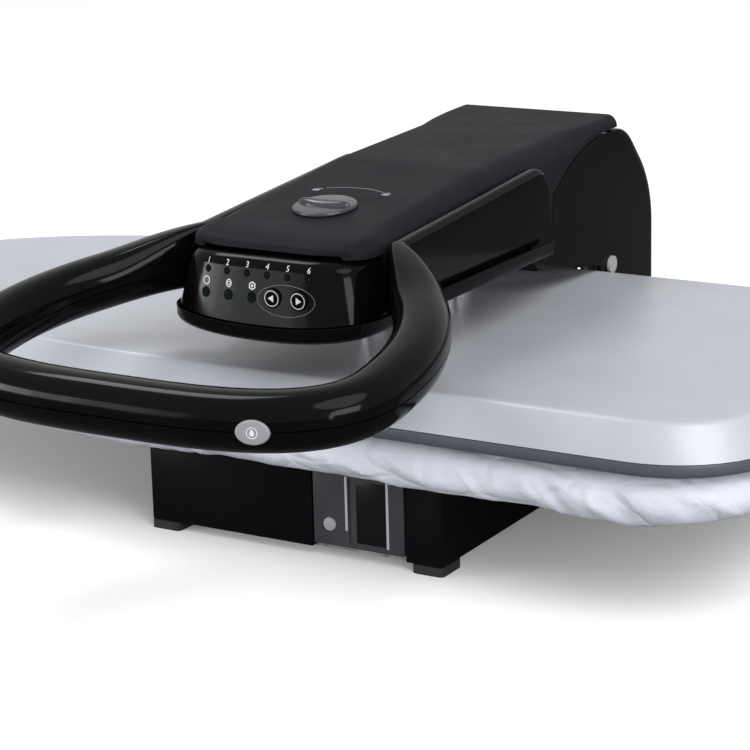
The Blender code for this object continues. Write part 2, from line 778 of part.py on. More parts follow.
def suction_hose():
    """From the back of the tank bay round to the back of the pump."""
    start_y = TANK_BACK + GAP
    turn_y = TANK_BACK + 6 * HOSE_RADIUS
    points = [
        (TANK_MIDDLE, start_y, VALVE_Z),
        (TANK_MIDDLE, turn_y, VALVE_Z),
        (PUMP_PLACE[0], turn_y, PUMP_Z),
        (PUMP_PLACE[0], PUMP_BACK + GAP, PUMP_Z),
    ]
    return adopt(tube(bent_run(points, 4 * HOSE_RADIUS), HOSE_RADIUS), "suction_hose", CLEAR_SMOKE, FRAME)


def power_board():
    x, y = POWER_BOARD_PLACE
    width, depth, thickness = POWER_BOARD_SIZE
    z = Z_FLOOR_PLATE_TOP + GAP
    board = block((x - width / 2, y - depth / 2, z), (x + width / 2, y + depth / 2, z + thickness))
    board = adopt(board, "power_board", BOARD_GREEN, FRAME)
    w, d, h = COIL_SIZE
    bottom = z + thickness / 2
    cut(board, block((x - w, y - d / 2, bottom), (x, y + d / 2, bottom + h)), "UNION")
    place = (x + width / 4, y + depth / 4)
    cut(board, rod(CAPACITOR_RADIUS, (*place, bottom), (*place, bottom + CAPACITOR_HEIGHT)), "UNION")
    return board


def cord_gland():
    """The bush in the base's back wall where the mains lead would enter."""
    back = BASE_BACK + GAP
    profile = [
        (GLAND_BORE, GLAND_FLANGE_THICKNESS + back),
        (GLAND_FLANGE, GLAND_FLANGE_THICKNESS + back),
        (GLAND_FLANGE, back),
        (GLAND_RADIUS, back),
        (GLAND_RADIUS, back - GLAND_LENGTH),
        (GLAND_BORE, back - GLAND_LENGTH),
        (GLAND_BORE, GLAND_FLANGE_THICKNESS + back),
    ]
    gland = turned(profile, (GLAND_X, 0, GLAND_HEIGHT), (0, 1, 0))
    return adopt(gland, "cord_gland", RUBBER, FRAME)


# Board: rails, pan, pad and cover
def board_frame():
    """The flat steel frame between the base's deck and the board's pan."""
    def ring(inset):
        wide, deep = FRAME_LENGTH / 2 - inset, FRAME_DEPTH / 2 - inset
        return rounded_box_outline(-wide, wide, -deep, deep, RAIL_WIDTH - inset * RAIL_ROUND_SHARE)

    return adopt(
        level_plate([ring(0), ring(RAIL_WIDTH)], Z_RAIL, Z_RAIL + RAIL_HEIGHT), "board_frame", STEEL, FRAME
    )


def board_pan():
    return adopt(
        level_plate([plate_outline(-PAN_INSET)], Z_PAN, Z_PAN + PAN_THICKNESS), "board_pan", STEEL, FRAME
    )


# The cover's edge from its hem up: shares of the bulge (outwards) and of the cover's height
COVER_EDGE_SHARES = ((0.30, 0.0), (0.80, 0.10), (1.0, 0.34), (0.96, 0.60), (0.66, 0.86), (0.0, 0.985))
PUCKER_SPACING = 4
COVER_BOTTOM = Z_PAN - COVER_DROP


def cover_profile():
    """The cover's outer face: under the board, round its edge and on to the flat top."""
    height = Z_COVER_TOP - COVER_BOTTOM
    profile = [(-COVER_TUCK, COVER_BOTTOM)]
    profile += [(COVER_BULGE * out, COVER_BOTTOM + height * rise) for out, rise in COVER_EDGE_SHARES]
    return profile + [(-COVER_FLAT, Z_COVER_TOP)]


def fine_outline(grow, pucker=0.0):
    """The board's outline in finer steps, with small gathers where the hem draws the cloth in."""
    outline = plate_outline(grow, nose_steps=40, corner_steps=6, side_steps=13)
    wavy = []
    for k, (x, y) in enumerate(outline):
        pull = 1 - pucker * (1 + math.cos(2 * math.pi * k / PUCKER_SPACING)) / (2 * PLATE_HALF_DEPTH)
        wavy.append((x * pull, y * pull))
    return wavy


def gather(z):
    """Depth of the gathers at a height: deepest at the hem, none on the upper half."""
    rise = (z - COVER_BOTTOM) / (Z_COVER_TOP - COVER_BOTTOM)
    return PUCKER_DEPTH * max(0, 1 - rise / GATHER_SHARE)


def board_pad():
    """Foam that fills the cover: a crowned edge, drawn in at the bottom, flat where the plate presses."""
    inside = inner_profile(cover_profile(), COVER_THICKNESS + 2 * GAP)
    inside = [(grow, min(z, Z_PAD_TOP)) for grow, z in inside if z > Z_PAD]
    foot = (inside[0][0] - PUCKER_DEPTH / 2, Z_PAD)
    rings = [at_height(fine_outline(grow, gather(z)), z) for grow, z in [foot] + inside[:-1]]
    rings.append(at_height(fine_outline(-COVER_FLAT), Z_PAD_TOP))
    return smooth(adopt(from_bmesh(loft(rings)), "board_pad", FOAM, FRAME), 50)


def board_cover():
    """Cotton over the pad and round the board's edge, drawn in underneath by its hem."""
    outer = cover_profile()
    inner = inner_profile(outer, COVER_THICKNESS)
    inner[-1] = (inner[-1][0], Z_COVER_TOP - COVER_THICKNESS)
    rings = [at_height(fine_outline(grow, gather(z)), z) for grow, z in inner[::-1] + outer]
    return smooth(adopt(from_bmesh(loft(rings)), "board_cover", COTTON, FRAME), 60)


# Column: steel frame, cover, hinge pin and spring
HINGE = (HINGE_Y, HINGE_Z)


def column_frame():
    cheek = [(CHEEK_FRONT, Z_DECK + GAP), (CHEEK_BACK, Z_DECK + GAP), (CHEEK_BACK, CHEEK_SHOULDER)]
    cheek += arc(*HINGE, CHEEK_EYE, -10, 235, 10)
    cheek += [(CHEEK_FRONT, HINGE_Z - CHEEK_FOOT_SHARE * CHEEK_EYE)]
    eye = circle(*HINGE, PIN_RADIUS + GAP, ROUND_SEGMENTS)
    left = side_profile([cheek, eye], -CHEEK_OUTSIDE, -CHEEK_INSIDE)
    frame = adopt(left, "column_frame", STEEL, FRAME)
    cut(frame, block(
        (-CHEEK_OUTSIDE, CHEEK_FRONT, Z_DECK + GAP),
        (CHEEK_OUTSIDE, CHEEK_BACK, Z_DECK + GAP + COLUMN_FLANGE),
    ), "UNION")
    cut(frame, block(
        (-CHEEK_OUTSIDE, CHEEK_BACK - COLUMN_FLANGE, Z_DECK + GAP),
        (CHEEK_OUTSIDE, CHEEK_BACK, CHEEK_SHOULDER),
    ), "UNION")
    cut(frame, side_profile([cheek, eye], CHEEK_INSIDE, CHEEK_OUTSIDE), "UNION")
    return frame


def column_cover():
    wide, wall = COLUMN_COVER_HALF_WIDTH, COLUMN_COVER_WALL
    outline = rounded_box_outline(-wide, wide, COLUMN_COVER_FRONT, COLUMN_COVER_BACK, 2 * wall)
    inside = rounded_box_outline(
        wall - wide, wide - wall, COLUMN_COVER_FRONT + wall, COLUMN_COVER_BACK - wall, wall
    )
    cover = level_plate([outline, inside], Z_DECK + GAP, Z_DECK + GAP + COLUMN_COVER_HEIGHT)
    return adopt(cover, "column_cover", SATIN_BLACK, FRAME)


def hinge_pin():
    """A turned pin with a head on its left end."""
    head = -PIN_HALF_LENGTH
    neck = head + CLIP_THICKNESS
    profile = [(0, PIN_HALF_LENGTH), (PIN_RADIUS, PIN_HALF_LENGTH), (PIN_RADIUS, neck), (CLIP_RADIUS, neck)]
    profile += [(CLIP_RADIUS, head), (0, head)]
    return adopt(turned(profile, (0, *HINGE), (1, 0, 0)), "hinge_pin", STEEL, FRAME)


def ring_solid(inner, outer, left, right):
    """A washer-like ring on the hinge line."""
    return side_profile([circle(*HINGE, outer, ROUND_SEGMENTS), circle(*HINGE, inner, ROUND_SEGMENTS)], left, right)


def hinge_bushes():
    """Spacer bushes between the column's cheeks and the arm's ears."""
    for name, left in (("bush_left", -CHEEK_OUTSIDE - GAP - BUSH_LENGTH), ("bush_right", CHEEK_OUTSIDE + GAP)):
        adopt(ring_solid(PIN_RADIUS + GAP, BUSH_RADIUS, left, left + BUSH_LENGTH), name, RUBBER, FRAME)


def pin_clip():
    left = EAR_OUTSIDE + GAP
    clip = ring_solid(PIN_RADIUS + GAP, CLIP_RADIUS, left, left + CLIP_THICKNESS)
    return adopt(clip, "pin_clip", STEEL, FRAME)


def lift_spring():
    """A torsion spring round the hinge pin, between the column's cheeks."""
    points = []
    steps = 10 * SPRING_TURNS
    for k in range(steps + 1):
        turn = 2 * math.pi * SPRING_TURNS * k / steps
        x = SPRING_HALF_LENGTH * (2 * k / steps - 1)
        points.append((x, HINGE_Y + SPRING_RADIUS * math.cos(turn), HINGE_Z + SPRING_RADIUS * math.sin(turn)))
    return adopt(tube(points, SPRING_WIRE, 1), "lift_spring", STEEL, FRAME)


# Arm: frame, posts and covers
def arm_frame():
    """A steel channel from the hinge ears to the nose, which carries the heated plate."""
    web_top = FRAME_WEB_Z + FRAME_THICKNESS
    web = block((-EAR_OUTSIDE, FRAME_FRONT, FRAME_WEB_Z), (EAR_OUTSIDE, FRAME_BACK, web_top))
    frame = adopt(web, "arm_frame", STEEL, ARM_AXIS)
    flange_top = FRAME_WEB_Z + FRAME_FLANGE_HEIGHT
    ear = [(FRAME_FRONT / 2, FRAME_WEB_Z), ((FRAME_BACK + HANDLE_PIVOT_Y) / 2, FRAME_WEB_Z)]
    ear += arc(*HINGE, CHEEK_EYE, -145, 70, 10)
    ear += [((FRAME_BACK + HANDLE_PIVOT_Y) / 2, flange_top), (FRAME_FRONT / 2, flange_top)]
    eye = circle(*HINGE, PIN_RADIUS + GAP, ROUND_SEGMENTS)
    for left in (-EAR_OUTSIDE, EAR_INSIDE):
        cut(frame, side_profile([ear, eye], left, left + EAR_THICKNESS), "UNION")
    reach = SPINDLE_RADIUS + RUNNING_GAP
    below, above = FRAME_WEB_Z - OVERRUN, FRAME_WEB_Z + OVERRUN + FRAME_THICKNESS
    cut(frame, rod(reach, (0, KNOB_Y, below), (0, KNOB_Y, above)))
    return frame


def plate_posts():
    """Two posts from the sole up to the arm's frame, each with a hexagon screw above."""
    bottom = FRAME_WEB_Z + FRAME_THICKNESS + GAP
    for end, y in zip(("front", "rear"), POST_Y):
        post = rod(POST_RADIUS, (0, y, Z_SOLE_TOP + GAP), (0, y, FRAME_WEB_Z - GAP))
        adopt(post, "plate_post_" + end, STEEL, ARM_AXIS)
        head = rod(POST_SCREW_RADIUS, (0, y, bottom), (0, y, bottom + POST_SCREW_HEIGHT), HEXAGON)
        adopt(head, "post_screw_" + end, STEEL, ARM_AXIS)


def cable_cover():
    low = (-DUCT_HALF_WIDTH, DUCT_FRONT, Z_PLATE_TOP + GAP)
    duct = block(low, (DUCT_HALF_WIDTH, DUCT_BACK, FRAME_WEB_Z - GAP))
    return adopt(duct, "cable_cover", SATIN_BLACK, ARM_AXIS)


def cover_top(y):
    """Height of the arm's top along its middle."""
    if y < ARM_BEND_Y:
        share = (y - ARM_FRONT) / (ARM_BEND_Y - ARM_FRONT)
        return ARM_NOSE_TOP + (ARM_BEND_TOP - ARM_NOSE_TOP) * share
    share = (y - ARM_BEND_Y) / (ARM_REAR - ARM_BEND_Y)
    return ARM_BEND_TOP + (ARM_REAR_TOP - ARM_BEND_TOP) * share


# Lower edge of the top cover beside the hood: shares of its length behind the step, and of its height
STEP_Y = 0.0745
STEP_EDGE_SHARES = (
    (0.0, 0.40), (0.04, 0.47), (0.18, 0.62), (0.33, 0.775), (0.57, 0.88), (0.81, 0.95), (1.0, 0.96)
)


def step_edge(share, rise):
    """A point of the slanted edge where the top cover meets the hood."""
    height = HOOD_TOP + HOOD_WALL - ARM_SKIRT_BOTTOM
    return (STEP_Y + (ARM_REAR - STEP_Y) * share, ARM_SKIRT_BOTTOM + height * rise)


def cover_section(y, top, low, half_width):
    """Across the top cover, from one skirt's lower edge over the top to the other's."""
    radius = min(ARM_CORNER, (top - low) * ARM_CORNER_SHARE)
    right = [(half_width, low)] + arc(half_width - radius, top - radius, radius, 0, 90, 3)
    left = [(-x, z) for x, z in right]
    return [(x, y, z) for x, z in left + right[::-1]]


FRONT_ROUND_SHARES = (
    (0.0, 0.25, 0.78), (0.06, 0.55, 0.85), (0.22, 0.80, 0.91), (0.5, 0.95, 0.96), (1.0, 1.0, 1.0)
)


def arm_top_cover():
    lip = PANEL_TOP + GAP
    sections = []
    round_depth = 2 * ARM_FRONT_ROUND
    for share, rise, width in FRONT_ROUND_SHARES:
        y = ARM_FRONT + round_depth * share
        top = lip + (cover_top(y) - lip) * rise
        sections.append(cover_section(y, top, lip, ARM_HALF_WIDTH * width))
    skirt_top = cover_top(SIDE_SKIRT_FRONT)
    sections.append(cover_section(SIDE_SKIRT_FRONT - OVERRUN / 2, skirt_top, lip, ARM_HALF_WIDTH))
    for y in (SIDE_SKIRT_FRONT, ARM_BEND_Y - OVERRUN, ARM_BEND_Y + OVERRUN, STEP_Y - OVERRUN / 2):
        sections.append(cover_section(y, cover_top(y), ARM_SKIRT_BOTTOM, ARM_HALF_WIDTH))
    for share, rise in STEP_EDGE_SHARES:
        y, low = step_edge(share, rise)
        sections.append(cover_section(y, cover_top(y), low, ARM_HALF_WIDTH))
    cover = from_bmesh(loft(sections, closed_rings=False, cap_ends=False))
    cover = smooth(thicken(adopt(cover, "arm_top_cover", MATTE_BLACK, ARM_AXIS), ARM_WALL))
    hole_top = cover_top(KNOB_Y) + OVERRUN
    cut(cover, rod(SPINDLE_RADIUS + RUNNING_GAP, (0, KNOB_Y, hole_top - 4 * OVERRUN), (0, KNOB_Y, hole_top)))
    pin = HANDLE_PIVOT_RADIUS + GAP
    reach = ARM_HALF_WIDTH + OVERRUN
    cut(cover, rod(pin, (-reach, HANDLE_PIVOT_Y, HANDLE_PIVOT_Z), (reach, HANDLE_PIVOT_Y, HANDLE_PIVOT_Z)))
    return cover


def arm_tray():
    """The arm's lower shell, whose lips stand out under the handle's legs."""
    wide, edge = TRAY_HALF_WIDTH, TRAY_EDGE
    half = [(wide, TRAY_LIP_TOP), (wide, TRAY_BOTTOM + edge), (wide - edge, TRAY_BOTTOM)]
    section = half + [(-x, z) for x, z in reversed(half)]
    rings = [[(x, y, z) for x, z in section] for y in (TRAY_FRONT, HOOD_FRONT - GAP)]
    tray = from_bmesh(loft(rings, closed_rings=False, cap_ends=False))
    tray = thicken(adopt(tray, "arm_tray", SATIN_BLACK, ARM_AXIS), ARM_WALL)
    y = POST_Y[0]
    cut(tray, rod(POST_RADIUS + GAP, (0, y, TRAY_BOTTOM - OVERRUN), (0, y, TRAY_BOTTOM + OVERRUN)))
    return tray


def hood_outline():
    """The hood from the side: slanted front edge, round top and back, and a skirt round the hinge."""
    clear = GAP + GAP
    points = [(HOOD_FRONT, TRAY_BOTTOM - TRAY_EDGE / 2)]
    step_foot = (STEP_Y - OVERRUN / 2 + clear, ARM_SKIRT_BOTTOM - clear)
    points += [(HOOD_FRONT, ARM_SKIRT_BOTTOM - clear), step_foot]
    for share, rise in STEP_EDGE_SHARES[:-1]:
        y, z = step_edge(share, rise)
        points.append((y + clear, z - clear))
    centre = (HOOD_BACK - HOOD_RADIUS, HOOD_TOP - HOOD_RADIUS)
    points += arc(*centre, HOOD_RADIUS, 90, 0, 8)
    points.append((HOOD_BACK, HOOD_SKIRT_BOTTOM))
    eye = HINGE_Z - HOOD_SKIRT_BOTTOM
    points.append((HINGE_Y - eye / 8, HINGE_Z - eye * HOOD_FOOT_SHARE))
    points.append((HINGE_Y - eye / 2, HINGE_Z - eye / 4))
    points.append((PLATE_HALF_DEPTH - GAP, Z_PLATE_TOP + CHEEK_THICKNESS))
    points.append((HOOD_FRONT + HOOD_SLANT, TRAY_BOTTOM - HOOD_SLANT))
    return points


def arm_hood():
    """The rear cover: two side walls joined by a round skin over the hinge, open below and in front."""
    outline = hood_outline()
    bm = bmesh.new()
    sides = []
    for x in (-ARM_HALF_WIDTH, ARM_HALF_WIDTH):
        sides.append([bm.verts.new((x, y, z)) for y, z in outline])
        bm.faces.new(sides[-1])
    first = 3 + len(STEP_EDGE_SHARES) - 2
    for k in range(first, first + 10):
        bm.faces.new((sides[0][k], sides[0][k + 1], sides[1][k + 1], sides[1][k]))
    hood = adopt(from_bmesh(bm), "arm_hood", GLOSS_BLACK, ARM_AXIS)
    soften(hood, HOOD_CORNER, 3, 50.0)
    return smooth(thicken(hood, HOOD_WALL), 40)


def pin_caps():
    """Round light caps over the ends of the hinge pin, on the hood's sides."""
    for name, side in (("pin_cap_left", -1), ("pin_cap_right", 1)):
        start = side * (ARM_HALF_WIDTH + GAP)
        cap = rod(CAP_RADIUS, (start, *HINGE), (start + side * CAP_THICKNESS, *HINGE))
        adopt(cap, name, LIGHT_GREY, ARM_AXIS)


# Nose: control panel, nose shell, circuit board, lamps and arrow buttons
def nose_widths(z):
    share = (z - PANEL_BOTTOM) / (PANEL_TOP - PANEL_BOTTOM)
    half = PANEL_BOTTOM_HALF_WIDTH + (PANEL_TOP_HALF_WIDTH - PANEL_BOTTOM_HALF_WIDTH) * share
    front = PANEL_BOTTOM_FRONT + (PANEL_TOP_FRONT - PANEL_BOTTOM_FRONT) * share
    return half, front


def nose_curve(z, steps, wrap, inset=0.0):
    """The bowed front of the nose at one height, from its left side round to its right."""
    half, front = nose_widths(z)
    half, front = half - inset, front + inset
    points = []
    for k in range(steps + 1):
        turn = math.radians(wrap * (2 * k / steps - 1))
        x = half * math.copysign(abs(math.sin(turn)) ** (2 / NOSE_EXPONENT), turn)
        y = PANEL_BACK + (front - PANEL_BACK) * abs(math.cos(turn)) ** (2 / NOSE_EXPONENT)
        points.append((x, y, z + nose_rise(x, z)))
    return points


def nose_rise(x, z):
    """The lower edges of the nose curve up towards its sides."""
    share = max((PANEL_TOP - z) / (PANEL_TOP - PANEL_BOTTOM), 0)
    return NOSE_RISE * min(share, 1) * min(abs(x / PANEL_BOTTOM_HALF_WIDTH), 1) ** 2


def panel_front(x, z):
    """How far forward the panel's face stands at a place."""
    half, front = nose_widths(z)
    return PANEL_BACK + (front - PANEL_BACK) * (1 - abs(x / half) ** NOSE_EXPONENT) ** (1 / NOSE_EXPONENT)


def lamp_places():
    return [(LAMP_X + LAMP_PITCH * k, LAMP_Z) for k in range(LAMP_COUNT)]


def state_lamp_places():
    return [(STATE_LAMP_X + STATE_LAMP_PITCH * k, STATE_LAMP_Z) for k in range(STATE_LAMP_COUNT)]


def control_panel():
    middle = (PANEL_TOP + PANEL_BOTTOM) / 2
    rings = [nose_curve(z, 14, 90) for z in (PANEL_BOTTOM, middle, PANEL_TOP)]
    panel = from_bmesh(loft(rings, closed_rings=False, cap_ends=False))
    panel = smooth(thicken(adopt(panel, "control_panel", GLOSS_BLACK, ARM_AXIS), PANEL_WALL))
    holes = [(place, LAMP_RADIUS) for place in lamp_places()]
    holes += [(place, STATE_LAMP_RADIUS) for place in state_lamp_places()]
    holes += [((x, ARROW_Z), ARROW_RADIUS) for x in ARROW_X]
    cutters = []
    for (x, z), radius in holes:
        y = panel_front(x, z)
        steps = ROUND_SEGMENTS if radius == ARROW_RADIUS else SMALL_SEGMENTS
        cutters.append(rod(radius + GAP, (x, y - OVERRUN, z), (x, y + 2 * OVERRUN, z), steps))
    cut(panel, join_meshes(cutters))
    return panel


def nose_shell():
    """The shallow tray that closes the nose under the panel."""
    top = PANEL_BOTTOM - 2 * GAP
    rings = []
    low, edge = NOSE_BOTTOM, NOSE_BOTTOM + NOSE_EDGE
    for z, inset in ((low, NOSE_EDGE - NOSE_LIP), (edge, -NOSE_LIP), (top, -NOSE_LIP)):
        ring = [(x, y, z + nose_rise(x, z)) for x, y, _ in nose_curve(PANEL_BOTTOM, 14, 90, inset)]
        back = [(x, TRAY_FRONT - GAP, height) for x, _, height in (ring[-1], ring[0])]
        rings.append(ring + back)
    bm = loft(rings, closed_rings=True, cap_ends=False)
    bm.verts.ensure_lookup_table()
    bmesh.ops.contextual_create(bm, geom=bm.verts[:len(rings[0])])
    shell = adopt(from_bmesh(bm), "nose_shell", GLOSS_BLACK, ARM_AXIS)
    return smooth(thicken(shell, PANEL_WALL))


def control_board():
    low = (-BOARD_HALF_WIDTH, BOARD_FRONT, PANEL_BOTTOM + BOARD_MARGIN)
    board = block(low, (BOARD_HALF_WIDTH, BOARD_FRONT + BOARD_THICKNESS, PANEL_TOP - BOARD_MARGIN))
    return adopt(board, "control_board", BOARD_GREEN, ARM_AXIS)


def light_guide(places, radius, name, material):
    """One clear moulding: a strip on the circuit board with a lens for each lamp."""
    back = BOARD_FRONT - GAP
    first, last = places[0][0], places[-1][0]
    z = places[0][1]
    strip = block((first - radius, back - GUIDE_THICKNESS, z - radius), (last + radius, back, z + radius))
    guide = adopt(strip, name, material, ARM_AXIS)
    lenses = []
    for x, z in places:
        front = panel_front(x, z) - LAMP_PROUD
        foot = back - GUIDE_THICKNESS / 2
        lenses.append(rod(radius * LENS_SHARE, (x, front, z), (x, foot, z), SMALL_SEGMENTS))
    return cut(guide, join_meshes(lenses), "UNION")


def arrow_button(name, x):
    front = panel_front(x, ARROW_Z) - ARROW_PROUD
    back = BOARD_FRONT - GAP - ARROW_TRAVEL - GAP
    axis = new_axis(name + "_axis", (x, front - HINGE_Y, ARROW_Z - HINGE_Z), ARM_AXIS)
    edge = ARROW_RADIUS * ARROW_EDGE_SHARE
    button = rod(ARROW_RADIUS, (x, back, ARROW_Z), (x, front, ARROW_Z), ROUND_SEGMENTS, edge)
    return adopt(button, name, LIGHT_GREY, axis)


# Lock knob with its spindle and cam
KNOB_SLOPE = math.atan2(ARM_BEND_TOP - ARM_NOSE_TOP, ARM_BEND_Y - ARM_FRONT)
KNOB_SEAT = Vector((0, KNOB_Y, cover_top(KNOB_Y)))
KNOB_UP = Vector((0, -math.sin(KNOB_SLOPE), math.cos(KNOB_SLOPE)))
KNOB_AXIS = new_axis(
    "lock_knob_axis", (0, KNOB_SEAT.y - HINGE_Y, KNOB_SEAT.z - HINGE_Z), ARM_AXIS
)


def on_cover(height):
    return KNOB_SEAT + KNOB_UP * height


def lock_knob():
    """A round disc with a raised wing across it."""
    profile = [
        (0, KNOB_HEIGHT),
        (KNOB_RADIUS * KNOB_EDGE_SHARE, KNOB_HEIGHT),
        (KNOB_RADIUS, KNOB_HEIGHT / 2),
        (KNOB_RADIUS, GAP * 2),
        (0, GAP * 2),
    ]
    disc = turned(profile, KNOB_SEAT, KNOB_UP, 24)
    knob = adopt(disc, "lock_knob", LIGHT_GREY, KNOB_AXIS)
    lens = []
    reach = KNOB_RADIUS * KNOB_WING_SHARE
    steps = 6
    for k in range(2 * steps):
        turn = math.pi * k / steps
        bend = abs(math.cos(turn)) ** KNOB_WING_POWER
        lens.append((reach * math.copysign(bend, math.cos(turn)), KNOB_WING_WIDTH / 2 * math.sin(turn)))
    turn = Matrix.Translation(on_cover(KNOB_HEIGHT / 2)) @ Matrix.Rotation(KNOB_SLOPE, 4, "X")
    cut(knob, flat_solid([lens], KNOB_WING_HEIGHT - KNOB_HEIGHT / 2, turn), "UNION")
    return knob


def lock_spindle():
    """The knob's shaft and the cam at its foot, inside the arm."""
    shaft = rod(SPINDLE_RADIUS, on_cover(GAP), on_cover(-SPINDLE_LENGTH))
    spindle = adopt(shaft, "lock_spindle", STEEL, KNOB_AXIS)
    half = CAM_WIDTH / 2
    outline = rounded_box_outline(-half, CAM_LENGTH, -half, half, half * CAM_ROUND_SHARE)
    turn = Matrix.Translation(on_cover(-SPINDLE_LENGTH)) @ Matrix.Rotation(KNOB_SLOPE, 4, "X")
    cut(spindle, flat_solid([outline], CAM_THICKNESS, turn), "UNION")
    return spindle


# Heated plate: housing, rim, soleplate and what they hold
def plate_housing():
    """The silver lid with a slanted skirt all round."""
    edge = HOUSING_EDGE
    profile = [
        (SKIRT_SPREAD, Z_HOUSING),
        (edge * SKIRT_SPREAD / HOUSING_HEIGHT, Z_PLATE_TOP - edge),
        (-edge, Z_PLATE_TOP),
    ]
    inside = inner_profile(profile, HOUSING_WALL, Z_HOUSING)
    inside[-1] = (-edge - HOUSING_WALL, Z_PLATE_TOP - HOUSING_WALL)
    housing = adopt(edge_shell(profile, inside), "plate_housing", SILVER, ARM_AXIS)
    reach = 2 * HOUSING_WALL
    holes = [rod(POST_RADIUS + GAP, (0, y, Z_PLATE_TOP - reach), (0, y, Z_PLATE_TOP + reach)) for y in POST_Y]
    cut(housing, join_meshes(holes))
    return smooth(housing, 40)


def plate_rim():
    outline = plate_outline(SKIRT_SPREAD)
    inside = plate_outline(SKIRT_SPREAD - RIM_WIDTH)
    rim = level_plate([outline, inside], Z_RIM, Z_RIM_TOP)
    return adopt(rim, "plate_rim", SLATE, ARM_AXIS)


def steam_hole_places():
    """Rows of steam holes along both sides of the sole, and one down its middle."""
    places = []
    span = PLATE_RIGHT - PLATE_CORNER - NOSE_START
    count = int(span / STEAM_HOLE_PITCH)
    for row in (-1, 0, 1):
        y = row * PLATE_HALF_DEPTH / 2
        for k in range(count):
            places.append((NOSE_START + STEAM_HOLE_PITCH * (k + 0.5), y))
    return places


def soleplate():
    outline = plate_outline(SKIRT_SPREAD - RIM_WIDTH - GAP)
    holes = [circle(x, y, STEAM_HOLE_RADIUS, 6) for x, y in steam_hole_places()]
    sole = level_plate([outline] + holes, Z_SOLE, Z_SOLE_TOP)
    return adopt(sole, "soleplate", ALUMINIUM, ARM_AXIS)


def heating_element():
    """A tubular element in one long loop on the sole, with both ends near the right."""
    outline = plate_outline(-ELEMENT_INSET, nose_steps=14, corner_steps=3)
    z = Z_SOLE_TOP + GAP + ELEMENT_RADIUS * math.cos(math.pi / HEXAGON)
    start = [(x, y, z) for x, y in outline]
    right = PLATE_RIGHT - PLATE_CORNER
    half = PLATE_HALF_DEPTH - ELEMENT_INSET
    tail = ELEMENT_TAIL
    nose = [point for point in start if point[0] < NOSE_START + GAP]
    back = [(right - tail, half, z)] + nose[1:] + [(right - tail, -half, z)]
    return adopt(tube(back, ELEMENT_RADIUS, 1), "heating_element", STEEL, ARM_AXIS)


def steam_chamber():
    w, d, h = CHAMBER_SIZE
    z = Z_SOLE_TOP + GAP
    chamber = block((CHAMBER_X - w / 2, -d / 2, z), (CHAMBER_X + w / 2, d / 2, z + h))
    return adopt(chamber, "steam_chamber", ALUMINIUM, ARM_AXIS)


def thermal_cutout():
    z = Z_SOLE_TOP + GAP
    disc = rod(CUTOUT_RADIUS, (CUTOUT_X, 0, z), (CUTOUT_X, 0, z + CUTOUT_HEIGHT))
    return adopt(disc, "thermal_cutout", STEEL, ARM_AXIS)


def insulation_sheet():
    z = Z_SOLE_TOP + CHAMBER_SIZE[2] + 2 * GAP
    holes = [circle(0, y, POST_RADIUS + GAP, ROUND_SEGMENTS) for y in POST_Y]
    sheet = level_plate([plate_outline(-INSULATION_INSET)] + holes, z, z + INSULATION_THICKNESS)
    return adopt(sheet, "insulation_sheet", WHITE_FELT, ARM_AXIS)


# Handle
def leg_top(y):
    """Height of a leg's upper edge."""
    share = (y - LEG_FRONT) / (LEG_BACK - LEG_FRONT)
    return LEG_TOP_FRONT + (LEG_TOP_BACK - LEG_TOP_FRONT) * share


GROW_SHARE = 0.6
LEG_END_SHARES = (0.0, 0.35, 0.7, 1.0)


def loop_height(y):
    """Height of the loop's middle line, which falls towards the front."""
    return LOOP_START_Z + LOOP_SLOPE * (y - LEG_FRONT)


def handle_stations():
    """Half of the handle's middle line from the leg's back end to the middle of the loop.

    Each station is a place, the direction along the handle, and the width and height of the section.
    """
    stations = []
    for share in LEG_END_SHARES:
        y = LEG_BACK - LEG_END_ROUND * (1 - math.cos(math.radians(90 * share)))
        top = leg_top(y) - LEG_END_ROUND * (1 - math.sin(math.radians(90 * share)))
        stations.append((Vector((LEG_X, y, (top + LEG_BOTTOM) / 2)), LEG_THICKNESS, top - LEG_BOTTOM))
    for y in ((LEG_BACK + LEG_FRONT) / 2, LEG_FRONT + LEG_END_ROUND, LEG_FRONT):
        top = leg_top(y)
        stations.append((Vector((LEG_X, y, (top + LEG_BOTTOM) / 2)), LEG_THICKNESS, top - LEG_BOTTOM))
    a = Vector((LEG_X, LEG_FRONT, 0))
    b = Vector((LEG_X, LEG_FRONT - LEG_PULL, 0))
    c = Vector((LOOP_HALF_WIDTH, LOOP_SIDE_Y + SIDE_PULL, 0))
    d = Vector((LOOP_HALF_WIDTH, LOOP_SIDE_Y, 0))
    steps = 8
    for k in range(1, steps + 1):
        t = k / steps
        place = (1 - t) ** 3 * a + 3 * t * (1 - t) ** 2 * b + 3 * t * t * (1 - t) * c + t ** 3 * d
        grown = min(t / GROW_SHARE, 1)
        grown = grown * grown * (3 - 2 * grown)
        place.z = LEG_MIDDLE_Z + (loop_height(place.y) - LEG_MIDDLE_Z) * grown
        width = LEG_THICKNESS + (LOOP_WIDTH - LEG_THICKNESS) * grown
        height = LEG_TOP_FRONT - LEG_BOTTOM + (LOOP_HEIGHT - LEG_TOP_FRONT + LEG_BOTTOM) * grown
        stations.append((place, width, height))
    steps = 8
    for k in range(1, steps + 1):
        turn = math.radians(90 * k / steps)
        x = LOOP_HALF_WIDTH * math.cos(turn) ** (2 / LOOP_EXPONENT) if k < steps else 0.0
        y = LOOP_SIDE_Y - LOOP_FRONT_DEPTH * math.sin(turn) ** (2 / LOOP_EXPONENT)
        stations.append((Vector((x, y, loop_height(y))), LOOP_WIDTH, LOOP_HEIGHT))
    return stations


